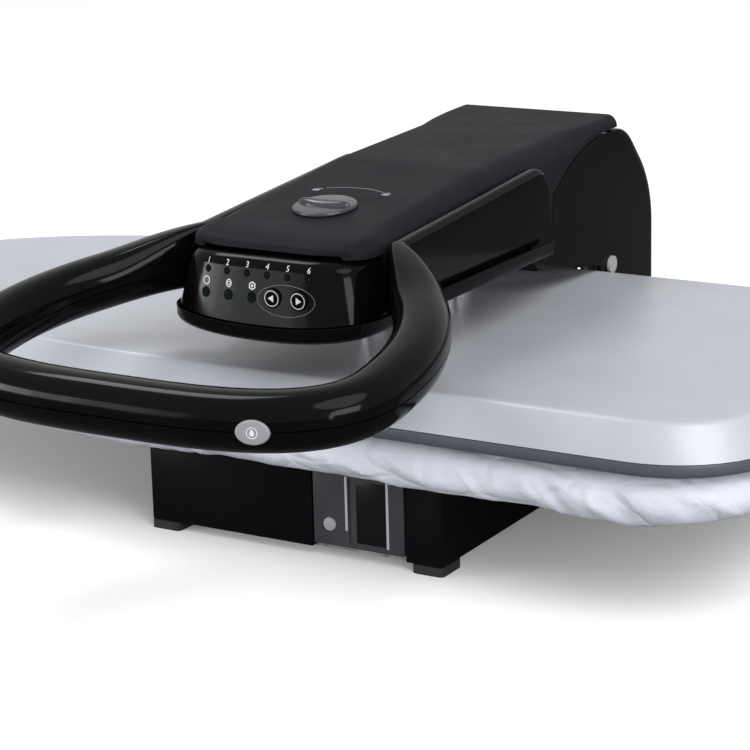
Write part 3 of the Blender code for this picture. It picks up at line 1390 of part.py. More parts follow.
def whole_handle():
    """Stations of the whole handle, right leg to left leg, with their sideways directions."""
    half = handle_stations()
    mirrored = [(Vector((-p.x, p.y, p.z)), w, h) for p, w, h in reversed(half[:-1])]
    stations = half + mirrored
    places = [station[0] for station in stations]
    result = []
    for k, (place, width, height) in enumerate(stations):
        before = places[max(k - 1, 0)]
        after = places[min(k + 1, len(places) - 1)]
        along = (after - before).normalized()
        side = along.cross(Vector((0, 0, 1))).normalized()
        result.append((place, side, width, height))
    return result


def section_power(width):
    """The loop is nearly oval across, and the flat legs nearly square."""
    grown = (width - LEG_THICKNESS) / (LOOP_WIDTH - LEG_THICKNESS)
    return 2 / (LEG_SQUARENESS + (LOOP_SQUARENESS - LEG_SQUARENESS) * grown)


def section_point(station, turn, inset):
    """A point round a handle section: turn 0 is outwards, 90 is up."""
    place, side, width, height = station
    boxy = section_power(width)
    c, s = math.cos(math.radians(turn)), math.sin(math.radians(turn))
    across = (width / 2 - inset) * math.copysign(abs(c) ** boxy, c)
    rise = (height / 2 - inset) * math.copysign(abs(s) ** boxy, s)
    return place + side * across + Vector((0, 0, rise))


def seam_turn(station, level, inset):
    """The angle round a section at which its outline reaches a height below its middle."""
    place, side, width, height = station
    boxy = section_power(width)
    share = min(level / (height / 2 - inset), 1)
    return math.degrees(math.asin(share ** (1 / boxy)))


def shell_ring(station, level, wall, upper, outer_steps=9, inner_steps=7):
    """Section of one handle shell: its outer curve, then its inner curve back."""
    ring = []
    for inset, steps, back in ((0.0, outer_steps, False), (wall, inner_steps, True)):
        turn = seam_turn(station, level, inset)
        start, end = (-turn, 180 + turn) if upper else (-turn, turn - 180)
        turns = [start + (end - start) * k / steps for k in range(steps + 1)]
        if back:
            turns.reverse()
        ring += [section_point(station, value, inset) for value in turns]
    return ring


def seam_level(station):
    """How far below the middle of the section the upper shell ends: all the way down on the legs."""
    place, side, width, height = station
    full = (height / 2 - HANDLE_WALL) * LEG_CLOSE_SHARE
    grown = (width - LEG_THICKNESS) / (LOOP_WIDTH - LEG_THICKNESS)
    return full + (SEAM_DROP - full) * grown


LEG_CLOSE_SHARE = 0.985


def handle_upper():
    rings = [shell_ring(station, seam_level(station), HANDLE_WALL, True) for station in whole_handle()]
    shell = from_bmesh(loft(rings))
    shell = smooth(adopt(shell, "handle_upper", GLOSS_BLACK, HANDLE_AXIS), 50)
    pins = []
    for side in (-1, 1):
        start = (side * (LEG_X - LEG_THICKNESS), HANDLE_PIVOT_Y, HANDLE_PIVOT_Z)
        pins.append(rod(HANDLE_PIVOT_RADIUS + GAP, start, (side * LEG_X, HANDLE_PIVOT_Y, HANDLE_PIVOT_Z)))
    cut(shell, join_meshes(pins))
    cut(shell, steam_plug(STEAM_HALF_WIDTH + GAP, STEAM_HALF_HEIGHT + GAP, -STEAM_LENGTH, OVERRUN))
    return shell


def handle_lower():
    stations = [s for s in whole_handle() if s[0].y < SEAM_START_Y]
    rings = [shell_ring(s, seam_level(s) + SEAM_GAP, HANDLE_WALL, False, 7, 5) for s in stations]
    shell = smooth(adopt(from_bmesh(loft(rings)), "handle_lower", GLOSS_BLACK, HANDLE_AXIS), 50)
    cut(shell, steam_plug(STEAM_HALF_WIDTH + GAP, STEAM_HALF_HEIGHT + GAP, -STEAM_LENGTH, OVERRUN))
    return shell


def handle_pivots():
    """The pins in the arm's sides that the legs turn on."""
    for name, side in (("handle_pivot_left", -1), ("handle_pivot_right", 1)):
        start = (side * (ARM_HALF_WIDTH - ARM_WALL - PIVOT_HEAD), HANDLE_PIVOT_Y, HANDLE_PIVOT_Z)
        end = (side * (LEG_X + LEG_THICKNESS / 2 - HANDLE_WALL - GAP), HANDLE_PIVOT_Y, HANDLE_PIVOT_Z)
        adopt(rod(HANDLE_PIVOT_RADIUS, start, end), name, STEEL, ARM_AXIS)


# Steam button and its switch
def steam_face():
    """Where the button's middle lies on the loop's front face, and the way it faces."""
    share = (STEAM_X / LOOP_HALF_WIDTH) ** LOOP_EXPONENT
    y = LOOP_SIDE_Y - LOOP_FRONT_DEPTH * (1 - share) ** (1 / LOOP_EXPONENT)
    z = loop_height(y)
    turn = math.radians(STEAM_SLANT)
    out = Vector((math.sin(turn), -math.cos(turn), 0))
    return Vector((STEAM_X, y, z - SEAM_DROP)) + out * LOOP_WIDTH / 2, out


def steam_plug(half_width, half_height, back, front):
    """An oval plug along the button's axis, between two distances from the handle's face."""
    place, out = steam_face()
    side = Vector((0, 0, 1)).cross(out)
    turn = Matrix((side, (0, 0, 1), side.cross(Vector((0, 0, 1))))).transposed().to_4x4()
    oval = []
    for k in range(ROUND_SEGMENTS):
        angle = 2 * math.pi * k / ROUND_SEGMENTS
        oval.append((half_width * math.cos(angle), half_height * math.sin(angle)))
    return flat_solid([oval], front - back, Matrix.Translation(place + out * back) @ turn)


STEAM_PLACE, STEAM_OUT = steam_face()
STEAM_AXIS = new_axis(
    "steam_button_axis",
    (STEAM_PLACE.x, STEAM_PLACE.y - HANDLE_PIVOT_Y, STEAM_PLACE.z - HANDLE_PIVOT_Z),
    HANDLE_AXIS,
)


def steam_button():
    button = steam_plug(STEAM_HALF_WIDTH, STEAM_HALF_HEIGHT, STEAM_PROUD - STEAM_LENGTH, STEAM_PROUD)
    return adopt(button, "steam_button", LIGHT_GREY, STEAM_AXIS)


def steam_switch():
    """The small switch behind the button, inside the loop."""
    reach = STEAM_LENGTH - STEAM_PROUD + STEAM_TRAVEL + GAP
    depth = LOOP_WIDTH - SWITCH_WALL_SHARE * HANDLE_WALL - reach
    middle = STEAM_PLACE - STEAM_OUT * (reach + depth / 2)
    bm = bmesh.new()
    bmesh.ops.create_cube(bm, size=1)
    bmesh.ops.scale(bm, vec=(SWITCH_WIDTH, depth, SWITCH_HEIGHT), verts=bm.verts)
    turn = Matrix.Translation(middle) @ Matrix.Rotation(math.radians(STEAM_SLANT), 4, "Z")
    bmesh.ops.transform(bm, matrix=turn, verts=bm.verts)
    return adopt(from_bmesh(bm), "steam_switch", SATIN_BLACK, HANDLE_AXIS)


def build():
    for piece in (base_housing, base_bottom, rubber_feet, water_tank, tank_plug, tank_valve):
        piece()
    for piece in (tank_bay, water_pump, suction_hose, power_board, cord_gland):
        piece()
    for piece in (board_frame, board_pan, board_pad, board_cover):
        piece()
    for piece in (column_frame, column_cover, hinge_pin, hinge_bushes, pin_clip, lift_spring):
        piece()
    for piece in (arm_frame, plate_posts, cable_cover, arm_top_cover, arm_tray, arm_hood, pin_caps):
        piece()
    for piece in (control_panel, nose_shell, control_board):
        piece()
    light_guide(lamp_places(), LAMP_RADIUS, "fabric_lamps", LAMP_GREEN)
    light_guide(state_lamp_places(), STATE_LAMP_RADIUS, "state_lamps", LAMP_GREEN)
    arrow_button("arrow_button_left", ARROW_X[0])
    arrow_button("arrow_button_right", ARROW_X[1])
    for piece in (lock_knob, lock_spindle):
        piece()
    for piece in (plate_housing, plate_rim, soleplate, heating_element, steam_chamber, thermal_cutout):
        piece()
    insulation_sheet()
    for piece in (handle_upper, handle_lower, handle_pivots, steam_button, steam_switch):
        piece()


build()
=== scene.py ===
import math

import bpy
from mathutils import Matrix, Vector, noise


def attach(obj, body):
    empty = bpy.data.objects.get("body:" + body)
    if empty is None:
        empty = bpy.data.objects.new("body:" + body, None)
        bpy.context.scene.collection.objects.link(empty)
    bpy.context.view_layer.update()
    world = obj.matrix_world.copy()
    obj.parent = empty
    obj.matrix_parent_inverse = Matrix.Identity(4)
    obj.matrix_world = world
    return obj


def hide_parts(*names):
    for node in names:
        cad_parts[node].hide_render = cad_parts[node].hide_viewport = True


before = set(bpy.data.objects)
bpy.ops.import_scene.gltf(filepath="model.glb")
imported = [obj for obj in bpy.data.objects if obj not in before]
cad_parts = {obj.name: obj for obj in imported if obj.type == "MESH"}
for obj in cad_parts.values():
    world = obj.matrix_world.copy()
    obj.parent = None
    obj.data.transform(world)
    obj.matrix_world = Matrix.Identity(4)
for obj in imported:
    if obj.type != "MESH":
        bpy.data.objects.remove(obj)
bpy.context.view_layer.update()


# Camera and studio
# The press stands on a pale floor under soft light, and is seen from the front right, a little
# above the worktop, through a long lens.
bpy.ops.object.select_all(action="DESELECT")
scene = bpy.context.scene
scene.view_settings.view_transform = "Standard"
VIEW_TURN, VIEW_DIP, VIEW_ROLL = math.radians(30.90), math.radians(14.34), math.radians(-1.42)
VIEW_PLACE = (0.7243, -1.1204, 0.4314)
VIEW_LENS, VIEW_SHIFT, VIEW_END, SENSOR_WIDTH = 120.1, -0.0607, 60.0, 36.0

ahead = Vector(
    (-math.sin(VIEW_TURN) * math.cos(VIEW_DIP), math.cos(VIEW_TURN) * math.cos(VIEW_DIP), -math.sin(VIEW_DIP))
)
level = Vector((math.cos(VIEW_TURN), math.sin(VIEW_TURN), 0))
upright = level.cross(ahead)
across = level * math.cos(VIEW_ROLL) + upright * math.sin(VIEW_ROLL)
upright = upright * math.cos(VIEW_ROLL) - level * math.sin(VIEW_ROLL)
facing = Matrix((across, upright, -ahead)).transposed().to_euler()
bpy.ops.object.camera_add(location=VIEW_PLACE, rotation=facing)
camera = bpy.context.object
camera.data.lens = VIEW_LENS
camera.data.sensor_width = SENSOR_WIDTH
camera.data.shift_y = VIEW_SHIFT
camera.data.clip_end = VIEW_END
scene.camera = camera


def add_node(tree, kind, inputs=None, **settings):
    """A new shader node, each of whose inputs gets a value or another node's output."""
    node = tree.nodes.new("ShaderNode" + kind)
    for name, value in settings.items():
        setattr(node, name, value)
    for socket, value in (inputs or {}).items():
        if isinstance(value, bpy.types.NodeSocket):
            tree.links.new(value, node.inputs[socket])
        else:
            node.inputs[socket].default_value = value
    return node


FLOOR_SIZE, FLOOR_ROUGHNESS = 40, 0.9
FLOOR_LIGHT, FLOOR_VIEW = (0.22, 0.0), (0.97, 0.12)
bpy.ops.mesh.primitive_plane_add(size=FLOOR_SIZE, location=(0, 0, 0))
floor = bpy.context.object
floor.name = "floor"
floor_paint = bpy.data.materials.new("floor_paint")
floor_paint.use_nodes = True
tree = floor_paint.node_tree
tree.nodes.clear()
rays = add_node(tree, "LightPath").outputs
paints = []
for tone, glow in (FLOOR_LIGHT, FLOOR_VIEW):
    paints.append(add_node(tree, "BsdfPrincipled", {
        "Base Color": (tone, tone, tone, 1), "Roughness": FLOOR_ROUGHNESS, "Specular IOR Level": 0.0,
        "Emission Color": (1, 1, 1, 1), "Emission Strength": glow,
    }).outputs[0])
blend = add_node(tree, "MixShader", {0: rays["Is Camera Ray"], 1: paints[0], 2: paints[1]})
add_node(tree, "OutputMaterial", {"Surface": blend.outputs[0]})
floor.data.materials.append(floor_paint)

AMBIENT = 0.48
world = bpy.data.worlds.new("studio")
scene.world = world
world.use_nodes = True
air = world.node_tree
air.nodes.clear()
rays = add_node(air, "LightPath").outputs
seen = add_node(air, "Math", {0: rays["Is Camera Ray"], 1: rays["Is Transmission Ray"]}, operation="MAXIMUM")
mirrored = add_node(air, "Math", {0: seen.outputs[0], 1: rays["Is Glossy Ray"]}, operation="MAXIMUM")
soft_light = add_node(air, "Background", {"Strength": AMBIENT}).outputs[0]
white_room = add_node(air, "Background", {"Strength": 1.0}).outputs[0]
choose = add_node(air, "MixShader", {0: mirrored.outputs[0], 1: soft_light, 2: white_room})
add_node(air, "OutputWorld", {"Surface": choose.outputs[0]})


def lamp(kind, name, place, target, energy):
    """A lamp at a place, pointed at a target."""
    aim = (Vector(target) - Vector(place)).to_track_quat("-Z", "Y").to_euler()
    bpy.ops.object.light_add(type=kind, location=place, rotation=aim)
    bpy.context.object.name = name
    bpy.context.object.data.energy = energy
    return bpy.context.object.data


def between(start, end, share):
    """The value at a share of the way from one value to another."""
    return start + (end - start) * share


def arc(x, y, wide, high, start, end, steps):
    """Points along a round or oval arc, from one angle in degrees to another."""
    turns = [math.radians(between(start, end, k / steps)) for k in range(steps + 1)]
    return [(x + wide * math.cos(turn), y + high * math.sin(turn)) for turn in turns]


SUN_LEVEL, SUN_PLACE, SUN_WIDTH = 1.95, (1.3, -0.8, 1.8), math.radians(45)
BOX_TARGET = (0, 0, 0.1)
LEFT_REACH, LEFT_START, LEFT_END = 1.7, 38, 68
LEFT_HEIGHT, LEFT_WIDE, LEFT_HIGH = 0.24, 0.18, 0.42
lamp("SUN", "high_window", SUN_PLACE, (0, 0, 0), SUN_LEVEL).angle = SUN_WIDTH
boxes = [
    ("top_softbox", (-0.8, 0.1, 1.5), 0.5, 0.5, 7.0),
    ("right_strip", (1.25, -1.30, 0.30), 0.05, 0.5, 1.6),
    ("right_fill", (1.35, -0.85, 0.42), 0.7, 0.4, 9.0),
]
left_places = arc(0, 0, -LEFT_REACH, -LEFT_REACH, LEFT_START, LEFT_END, 5)
for k, power in enumerate((4.4, 3.6, 2.6, 1.6, 0.9, 0.45)):
    boxes.append(("left_softbox_%d" % k, (*left_places[k], LEFT_HEIGHT), LEFT_WIDE, LEFT_HIGH, power))
for name, place, wide, high, power in boxes:
    box = lamp("AREA", name, place, BOX_TARGET, power)
    box.shape = "RECTANGLE"
    box.size = wide
    box.size_y = high


# Feet
# Four low rubber pads under the corners of the base, glued into shallow seats.
def bare_finish(name, colour, roughness, metallic=0.0, specular=0.5, more=None):
    """A new material, its node tree and its Principled shader."""
    material = bpy.data.materials.new(name)
    material.use_nodes = True
    shader = material.node_tree.nodes["Principled BSDF"]
    values = {"Base Color": (*colour, 1), "Roughness": roughness, "Metallic": metallic}
    for socket, value in {**values, "Specular IOR Level": specular, **(more or {})}.items():
        shader.inputs[socket].default_value = value
    return material, material.node_tree, shader


def grain(tree, scale, detail=2.0, stretch=(1, 1, 1), source="Object"):
    """Noise over a piece, in grains per metre, optionally drawn out along an axis."""
    where = add_node(tree, "TexCoord").outputs[source]
    mapping = add_node(tree, "Mapping", {"Vector": where, "Scale": stretch}).outputs["Vector"]
    return add_node(tree, "TexNoise", {"Vector": mapping, "Scale": scale, "Detail": detail}).outputs["Fac"]


def spread(tree, value, low, high):
    """A noise value, which mostly stays from 0.3 to 0.7, brought between two limits."""
    limits = {"From Min": 0.3, "From Max": 0.7, "To Min": low, "To Max": high}
    return add_node(tree, "MapRange", {"Value": value, **limits}).outputs["Result"]


def shade(tree, shader, colour, amount, value):
    """Lets a finish's colour drift a little lighter and darker with a noise value."""
    dark, light = ((*(c * (1 + way * amount) for c in colour), 1) for way in (-1, 1))
    drift = add_node(tree, "Mix", {"A": dark, "B": light, "Factor": value}, data_type="RGBA")
    tree.links.new(drift.outputs["Result"], shader.inputs["Base Color"])


def dent(tree, shader, height, distance):
    """Raises the surface by a height pattern, in metres."""
    bump = add_node(tree, "Bump", {"Height": height, "Distance": distance, "Strength": 1.0})
    tree.links.new(bump.outputs["Normal"], shader.inputs["Normal"])


def finish(name, colour, amount, patches, gloss, wear, grit=None, depth=0.0,
           metallic=0.0, specular=0.5, more=None):
    """A material whose colour drifts in patches, its gloss with wear, and its surface with a grit."""
    material, tree, shader = bare_finish(name, colour, sum(gloss) / 2, metallic, specular, more)
    shade(tree, shader, colour, amount, spread(tree, grain(tree, *patches), 0, 1))
    tree.links.new(spread(tree, grain(tree, *wear), *gloss), shader.inputs["Roughness"])
    if grit:
        dent(tree, shader, grain(tree, *grit), depth)
    return material


def moulded(name, colour, roughness, grit=1600, depth=0.00004, gloss_spread=0.05, amount=0.12, specular=0.35):
    """Moulded plastic: a fine spark-eroded grain, with slight drifts of colour and gloss."""
    gloss = (roughness - gloss_spread, roughness + gloss_spread)
    return finish(name, colour, amount, (9, 3), gloss, (45, 4), (grit, 2), depth, 0.0, specular)


def dress(material, *nodes):
    """Gives carried-over solids their finish."""
    for node in nodes:
        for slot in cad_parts[node].material_slots:
            slot.material = material


RUBBER_BLACK = moulded("foot_rubber", (0.018, 0.018, 0.019), 0.78, 900, 0.00008)
dress(RUBBER_BLACK, "foot_front_left", "foot_front_right", "foot_rear_left", "foot_rear_right")


# Base case
# An open-bottomed box moulded in satin black plastic, with crisp corners and a mouth for the water
# tank. A zinc-plated floor closes it over the tank's bay, the pump, its hose and the power board,
# and the cord gland sits in its back wall.
BASE_LOW, BASE_HIGH = Vector((-0.089, -0.1233, 0.005)), Vector((0.089, 0.184, 0.0515))
BASE_WALL, BASE_CORNER, BASE_EDGE = 0.0025, 0.0025, 0.0006
TANK_LOW, TANK_HIGH = Vector((0.0134, -0.1233, 0.0073)), Vector((0.0670, 0.0587, 0.0469))
MOUTH_GAP, MOUTH_DEPTH, MOUTH_FALL, CUT_PAST = 0.0008, 0.005, 0.006, 0.004
MIDDLE = Vector((0.055, 0.0325, 0))  # from the arm's middle plane, round which all is modelled, to the frame


def alone(obj):
    """Makes one object the only selected one."""
    if bpy.context.mode != "OBJECT":
        bpy.ops.object.mode_set(mode="OBJECT")
    bpy.ops.object.select_all(action="DESELECT")
    obj.select_set(True)
    bpy.context.view_layer.objects.active = obj
    return obj


def pick(obj, edges=None, faces=None, verts=None):
    """Opens a piece for editing with only the edges, faces or points picked by a rule selected."""
    alone(obj)
    mesh = obj.data
    kind = "EDGE" if edges else "FACE" if faces else "VERT"
    bpy.ops.object.mode_set(mode="EDIT")
    bpy.ops.mesh.select_mode(type=kind)
    bpy.ops.mesh.select_all(action="DESELECT")
    bpy.ops.object.mode_set(mode="OBJECT")
    if edges:
        for edge in mesh.edges:
            edge.select = edges(*(mesh.vertices[v].co for v in edge.vertices))
    elif faces:
        for face in mesh.polygons:
            face.select = faces(face.center, face.normal)
    else:
        for vert in mesh.vertices:
            vert.select = verts(vert.co)
    bpy.ops.object.mode_set(mode="EDIT")


def edit(obj, operator, edges=None, faces=None, verts=None, **settings):
    """Runs one mesh operator on the edges, faces or points picked by a rule."""
    pick(obj, edges, faces, verts)
    operator(**settings)
    bpy.ops.object.mode_set(mode="OBJECT")
    return obj


def everywhere(*place):
    """The rule that picks all of a piece."""
    return True


def crate(low, high):
    """A box between two corners."""
    low, high = Vector(low), Vector(high)
    bpy.ops.mesh.primitive_cube_add(size=1, location=(low + high) / 2)
    box = bpy.context.object
    box.scale = high - low
    bpy.ops.object.transform_apply()
    return box


def rod(radius, start, end, steps=48):
    """A straight round rod between two places."""
    start, end = Vector(start), Vector(end)
    turn = (end - start).to_track_quat("Z", "Y").to_euler()
    bpy.ops.mesh.primitive_cylinder_add(
        vertices=steps, radius=radius, depth=(end - start).length, location=(start + end) / 2, rotation=turn
    )
    bpy.ops.object.transform_apply()
    return bpy.context.object


def modify(obj, kind, **settings):
    """Adds a modifier to a piece and applies it."""
    alone(obj)
    bpy.ops.object.modifier_add(type=kind)
    step = obj.modifiers[-1]
    for name, value in settings.items():
        setattr(step, name, value)
    bpy.ops.object.modifier_apply(modifier=step.name)
    return obj


def carve(obj, cutter, operation="DIFFERENCE"):
    """Cuts one piece with another, or joins them, and removes the cutter."""
    modify(obj, "BOOLEAN", operation=operation, solver="EXACT", object=cutter)
    bpy.data.objects.remove(cutter)
    return obj


def round_edges(obj, width, segments=3, angle=35):
    """Rounds a piece's sharp edges."""
    limit = math.radians(angle)
    return modify(obj, "BEVEL", width=width, segments=segments, limit_method="ANGLE", angle_limit=limit)


def settle(obj, name, material, body, nodes=(), angle=30):
    """Names a finished piece, puts its place into its mesh, and says what it is made of and rides on."""
    alone(obj)
    obj.name = obj.data.name = name
    obj.location += MIDDLE
    bpy.ops.object.transform_apply()
    bpy.ops.object.shade_smooth_by_angle(angle=math.radians(angle))
    obj.data.materials.clear()
    obj.data.materials.append(material)
    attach(obj, body)
    if nodes:
        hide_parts(*nodes)
    return obj


BASE_BLACK = moulded("base_satin_black", (0.0042, 0.0042, 0.0055), 0.36, 1500, 0.00003, specular=0.05)
base_case = crate(BASE_LOW, BASE_HIGH)
edit(base_case, bpy.ops.mesh.bevel, edges=lambda a, b: abs(a.z - b.z) > BASE_WALL,
     offset=BASE_CORNER, segments=5)
wall = Vector((BASE_WALL, BASE_WALL, BASE_WALL))
carve(base_case, crate(BASE_LOW + wall - Vector((0, 0, 5 * BASE_WALL)), BASE_HIGH - wall))
mouth_low = TANK_LOW - Vector((MOUTH_GAP, CUT_PAST, MOUTH_FALL))
mouth_high = (TANK_HIGH.x + MOUTH_GAP, BASE_LOW.y + MOUTH_DEPTH, TANK_HIGH.z + MOUTH_GAP)
carve(base_case, crate(mouth_low, mouth_high))
round_edges(base_case, BASE_EDGE, 2, 50)
settle(base_case, "base_case", BASE_BLACK, "base", ["base_housing"])

ZINC_STEEL = finish("zinc_plated_steel_sheet", (0.55, 0.55, 0.56), 0.14, patches=(60, 3), gloss=(0.22, 0.42),
                    wear=(220, 3), grit=(700, 3), depth=0.00002, metallic=1.0)
BOARD_GREEN = (0.02, 0.10, 0.05)
CIRCUIT_GREEN, tree, shader = bare_finish("printed_circuit_board", BOARD_GREEN, 0.45)
shade(tree, shader, BOARD_GREEN, 0.5, spread(tree, grain(tree, 260, 4), 0, 1))
dent(tree, shader, grain(tree, 420, 2), 0.00006)
dress(BASE_BLACK, "tank_bay", "water_pump")
dress(RUBBER_BLACK, "cord_gland", "suction_hose")
dress(ZINC_STEEL, "base_bottom")
dress(CIRCUIT_GREEN, "power_board")


# Water tank
# A clear smoky box with a square recess in its front wall to pull it by, two light grey ribs beside
# the recess whose light grey is a painted highlight on the recess's edges, and a small round stopper.
# It slides out of the base to be filled.
SMOKY = finish("smoky_clear_plastic", (0.085, 0.087, 0.097), 0.25, patches=(25, 3, (1, 1, 0.25)),
               gloss=(0.06, 0.2), wear=(60, 3), grit=(140, 2), depth=0.00004,
               more={"IOR": 1.49, "Transmission Weight": 0.5})
WINDOW_LEFT, WINDOW_RIGHT, WINDOW_DEPTH = 0.0345, 0.0567, 0.001
TANK_WALL, TANK_EDGE = 0.002, 0.0008
PLUG_X, PLUG_Z, PLUG_RADIUS, PLUG_GAP = TANK_LOW.x + 0.010, TANK_LOW.z + 0.0115, 0.0036, 0.0003
PLUG_PROUD, PLUG_DEPTH, PLUG_EDGE = 0.0009, 0.0035, 0.0005

tank = crate(TANK_LOW, TANK_HIGH)
round_edges(tank, TANK_EDGE)
wall = Vector((TANK_WALL, TANK_WALL, TANK_WALL))
carve(tank, crate(TANK_LOW + wall, TANK_HIGH - wall))
window_low = (WINDOW_LEFT, TANK_LOW.y - CUT_PAST, TANK_LOW.z + TANK_WALL)
carve(tank, crate(window_low, (WINDOW_RIGHT, TANK_LOW.y + WINDOW_DEPTH, TANK_HIGH.z - TANK_WALL)))
hole_ends = [(PLUG_X, TANK_LOW.y + way * CUT_PAST, PLUG_Z) for way in (-1, 1)]
carve(tank, rod(PLUG_RADIUS + PLUG_GAP, *hole_ends))
settle(tank, "water_tank_shell", SMOKY, "water_tank", ["water_tank"])
dress(RUBBER_BLACK, "tank_valve")

PANE_HALF, PANE_INDENT, PANE_MARGIN, PANE_EDGE = 0.0004, 0.0045, 0.0032, 0.0002
pane_y = TANK_LOW.y + WINDOW_DEPTH
pane = crate((WINDOW_LEFT + PANE_INDENT, pane_y - PANE_HALF, TANK_LOW.z + PANE_MARGIN),
             (WINDOW_RIGHT - PANE_HALF, pane_y + PANE_HALF, TANK_HIGH.z - PANE_MARGIN))
round_edges(pane, PANE_EDGE, 2)
DARK_PANE = moulded("tank_dark_pane", (0.008, 0.008, 0.009), 0.2, 300, 0.00003, specular=0.1)
settle(pane, "tank_window_pane", DARK_PANE, "water_tank", ())

# Two ribs flank the recess. Their light grey colour is a painted highlight on the recess's edges, not the
# tank's own colour.
RIB_HALF, RIB_PROUD, RIB_SUNK, RIB_MARGIN, RIB_EDGE = 0.0007, 0.0003, 0.0004, 0.0012, 0.0003
PAINTED_HIGHLIGHT_GREY = moulded("tank_edge_painted_highlight", (0.42, 0.43, 0.46), 0.22, 300, 0.00003)
for side, x, foot in (("left", WINDOW_LEFT - 0.0011, 0.0165), ("right", WINDOW_RIGHT + 0.0009, 0.0100)):
    rib_high = (x + RIB_HALF, TANK_LOW.y + RIB_SUNK, TANK_HIGH.z - RIB_MARGIN)
    rib = crate((x - RIB_HALF, TANK_LOW.y - RIB_PROUD, foot), rib_high)
    round_edges(rib, RIB_EDGE)
    settle(rib, "tank_edge_" + side, PAINTED_HIGHLIGHT_GREY, "water_tank", ())

STOPPER_GREY = moulded("stopper_grey", (0.30, 0.30, 0.31), 0.5, 800)
plug = rod(PLUG_RADIUS, (PLUG_X, TANK_LOW.y - PLUG_PROUD, PLUG_Z), (PLUG_X, TANK_LOW.y + PLUG_DEPTH, PLUG_Z))
edit(plug, bpy.ops.mesh.bevel, edges=lambda a, b: max(a.y, b.y) < TANK_LOW.y, offset=PLUG_EDGE, segments=3)
settle(plug, "tank_stopper", STOPPER_GREY, "water_tank", ["tank_plug"])


# Ironing board and its pad
# A pressed steel pan on a black frame carries a thick foam pad in the shape of the heated plate:
# straight at the front and back, round at the left end, with two round corners at the right.
dress(BASE_BLACK, "board_frame")
dress(ZINC_STEEL, "board_pan")
PLATE_HALF_DEPTH, PLATE_RIGHT, PLATE_CORNER = 0.135, 0.245, 0.045
NOSE_START, NOSE_LENGTH = -0.082, 0.273


def plate_outline(grow, front=48, corner=10, nose=48):
    """The heated plate's outline from above, moved outwards by grow, anticlockwise."""
    edge, radius = PLATE_HALF_DEPTH + grow, PLATE_CORNER + grow
    x, y = PLATE_RIGHT - PLATE_CORNER, PLATE_HALF_DEPTH - PLATE_CORNER
    points = [(between(NOSE_START, x, k / front), -edge) for k in range(front)]
    points += arc(x, -y, radius, radius, -90, 0, corner) + arc(x, y, radius, radius, 0, 90, corner)
    points += [(between(x, NOSE_START, k / front), edge) for k in range(1, front)]
    return points + arc(NOSE_START, 0, NOSE_LENGTH + grow, edge, 90, 270, nose)[:-1]


def skin(rows, closed=False, cut=None):
    """A surface through rows of points, from a grid whose points are set row by row; its faces look
    along (the way along a row) x (the way from row to row). cut gives each point's place on flat cloth."""
    rows = [row + [row[0]] if closed else row for row in rows]
    across, up = len(rows[0]) - 1, len(rows) - 1
    bpy.ops.mesh.primitive_grid_add(x_subdivisions=across, y_subdivisions=up, size=2, location=(0, 0, 0))
    sheet = bpy.context.object
    for vert in sheet.data.vertices:
        col, row = round((vert.co.x + 1) / 2 * across), round((vert.co.y + 1) / 2 * up)
        vert.co = rows[row][col]
    for place in sheet.data.uv_layers.active.data if cut else ():
        col, row = round(place.uv.x * across), round(place.uv.y * up)
        place.uv = cut[row][col % len(cut[row])]
    if closed:
        weld(sheet)
    return sheet


def weld(obj):
    """Closes seams where points lie in one place."""
    return edit(obj, bpy.ops.mesh.remove_doubles, verts=everywhere, threshold=0.000001)


def thicken(obj, wall, even=True):
    """Gives a surface a wall, inwards from its face."""
    return modify(obj, "SOLIDIFY", thickness=wall, offset=-1.0, use_even_offset=even)


def outward(obj):
    """Turns every face of a closed piece outwards."""
    return edit(obj, bpy.ops.mesh.normals_make_consistent, faces=everywhere, inside=False)


def cap(obj, chosen=None):
    """Closes all of a skin's open ends, or only the one whose edges lie at chosen places."""
    alone(obj)
    bpy.ops.object.mode_set(mode="EDIT")
    bpy.ops.mesh.select_mode(type="EDGE")
    bpy.ops.mesh.select_all(action="DESELECT")
    bpy.ops.mesh.select_non_manifold(
        extend=False, use_wire=False, use_multi_face=False, use_non_contiguous=False
    )
    if chosen:
        bpy.ops.object.mode_set(mode="OBJECT")
        mesh = obj.data
        for edge in mesh.edges:
            edge.select = edge.select and all(chosen(mesh.vertices[v].co) for v in edge.vertices)
        picked = {v for edge in mesh.edges if edge.select for v in edge.vertices}
        for vert in mesh.vertices:
            vert.select = vert.index in picked
        bpy.ops.object.mode_set(mode="EDIT")
        bpy.ops.mesh.edge_face_add()
    else:
        bpy.ops.mesh.fill_holes(sides=0)
    bpy.ops.object.mode_set(mode="OBJECT")
    return obj


def ring_at(outline, z):
    """A flat outline laid at a height."""
    return [(x, y, z) for x, y in outline]


FOAM_GREY = moulded("grey_foam", (0.33, 0.33, 0.34), 0.95, 700, 0.0002)
PAD_PROFILE = ((-0.009, 0.0598), (-0.001, 0.0604), (0.0035, 0.0622), (0.0050, 0.0648), (0.0046, 0.0680),
               (0.0020, 0.0706), (-0.0030, 0.0724), (-0.0090, 0.0732))
pad = skin([ring_at(plate_outline(grow), z) for grow, z in PAD_PROFILE], closed=True)
cap(pad)
outward(pad)
settle(pad, "foam_pad", FOAM_GREY, "base", ["board_pad"], 60)


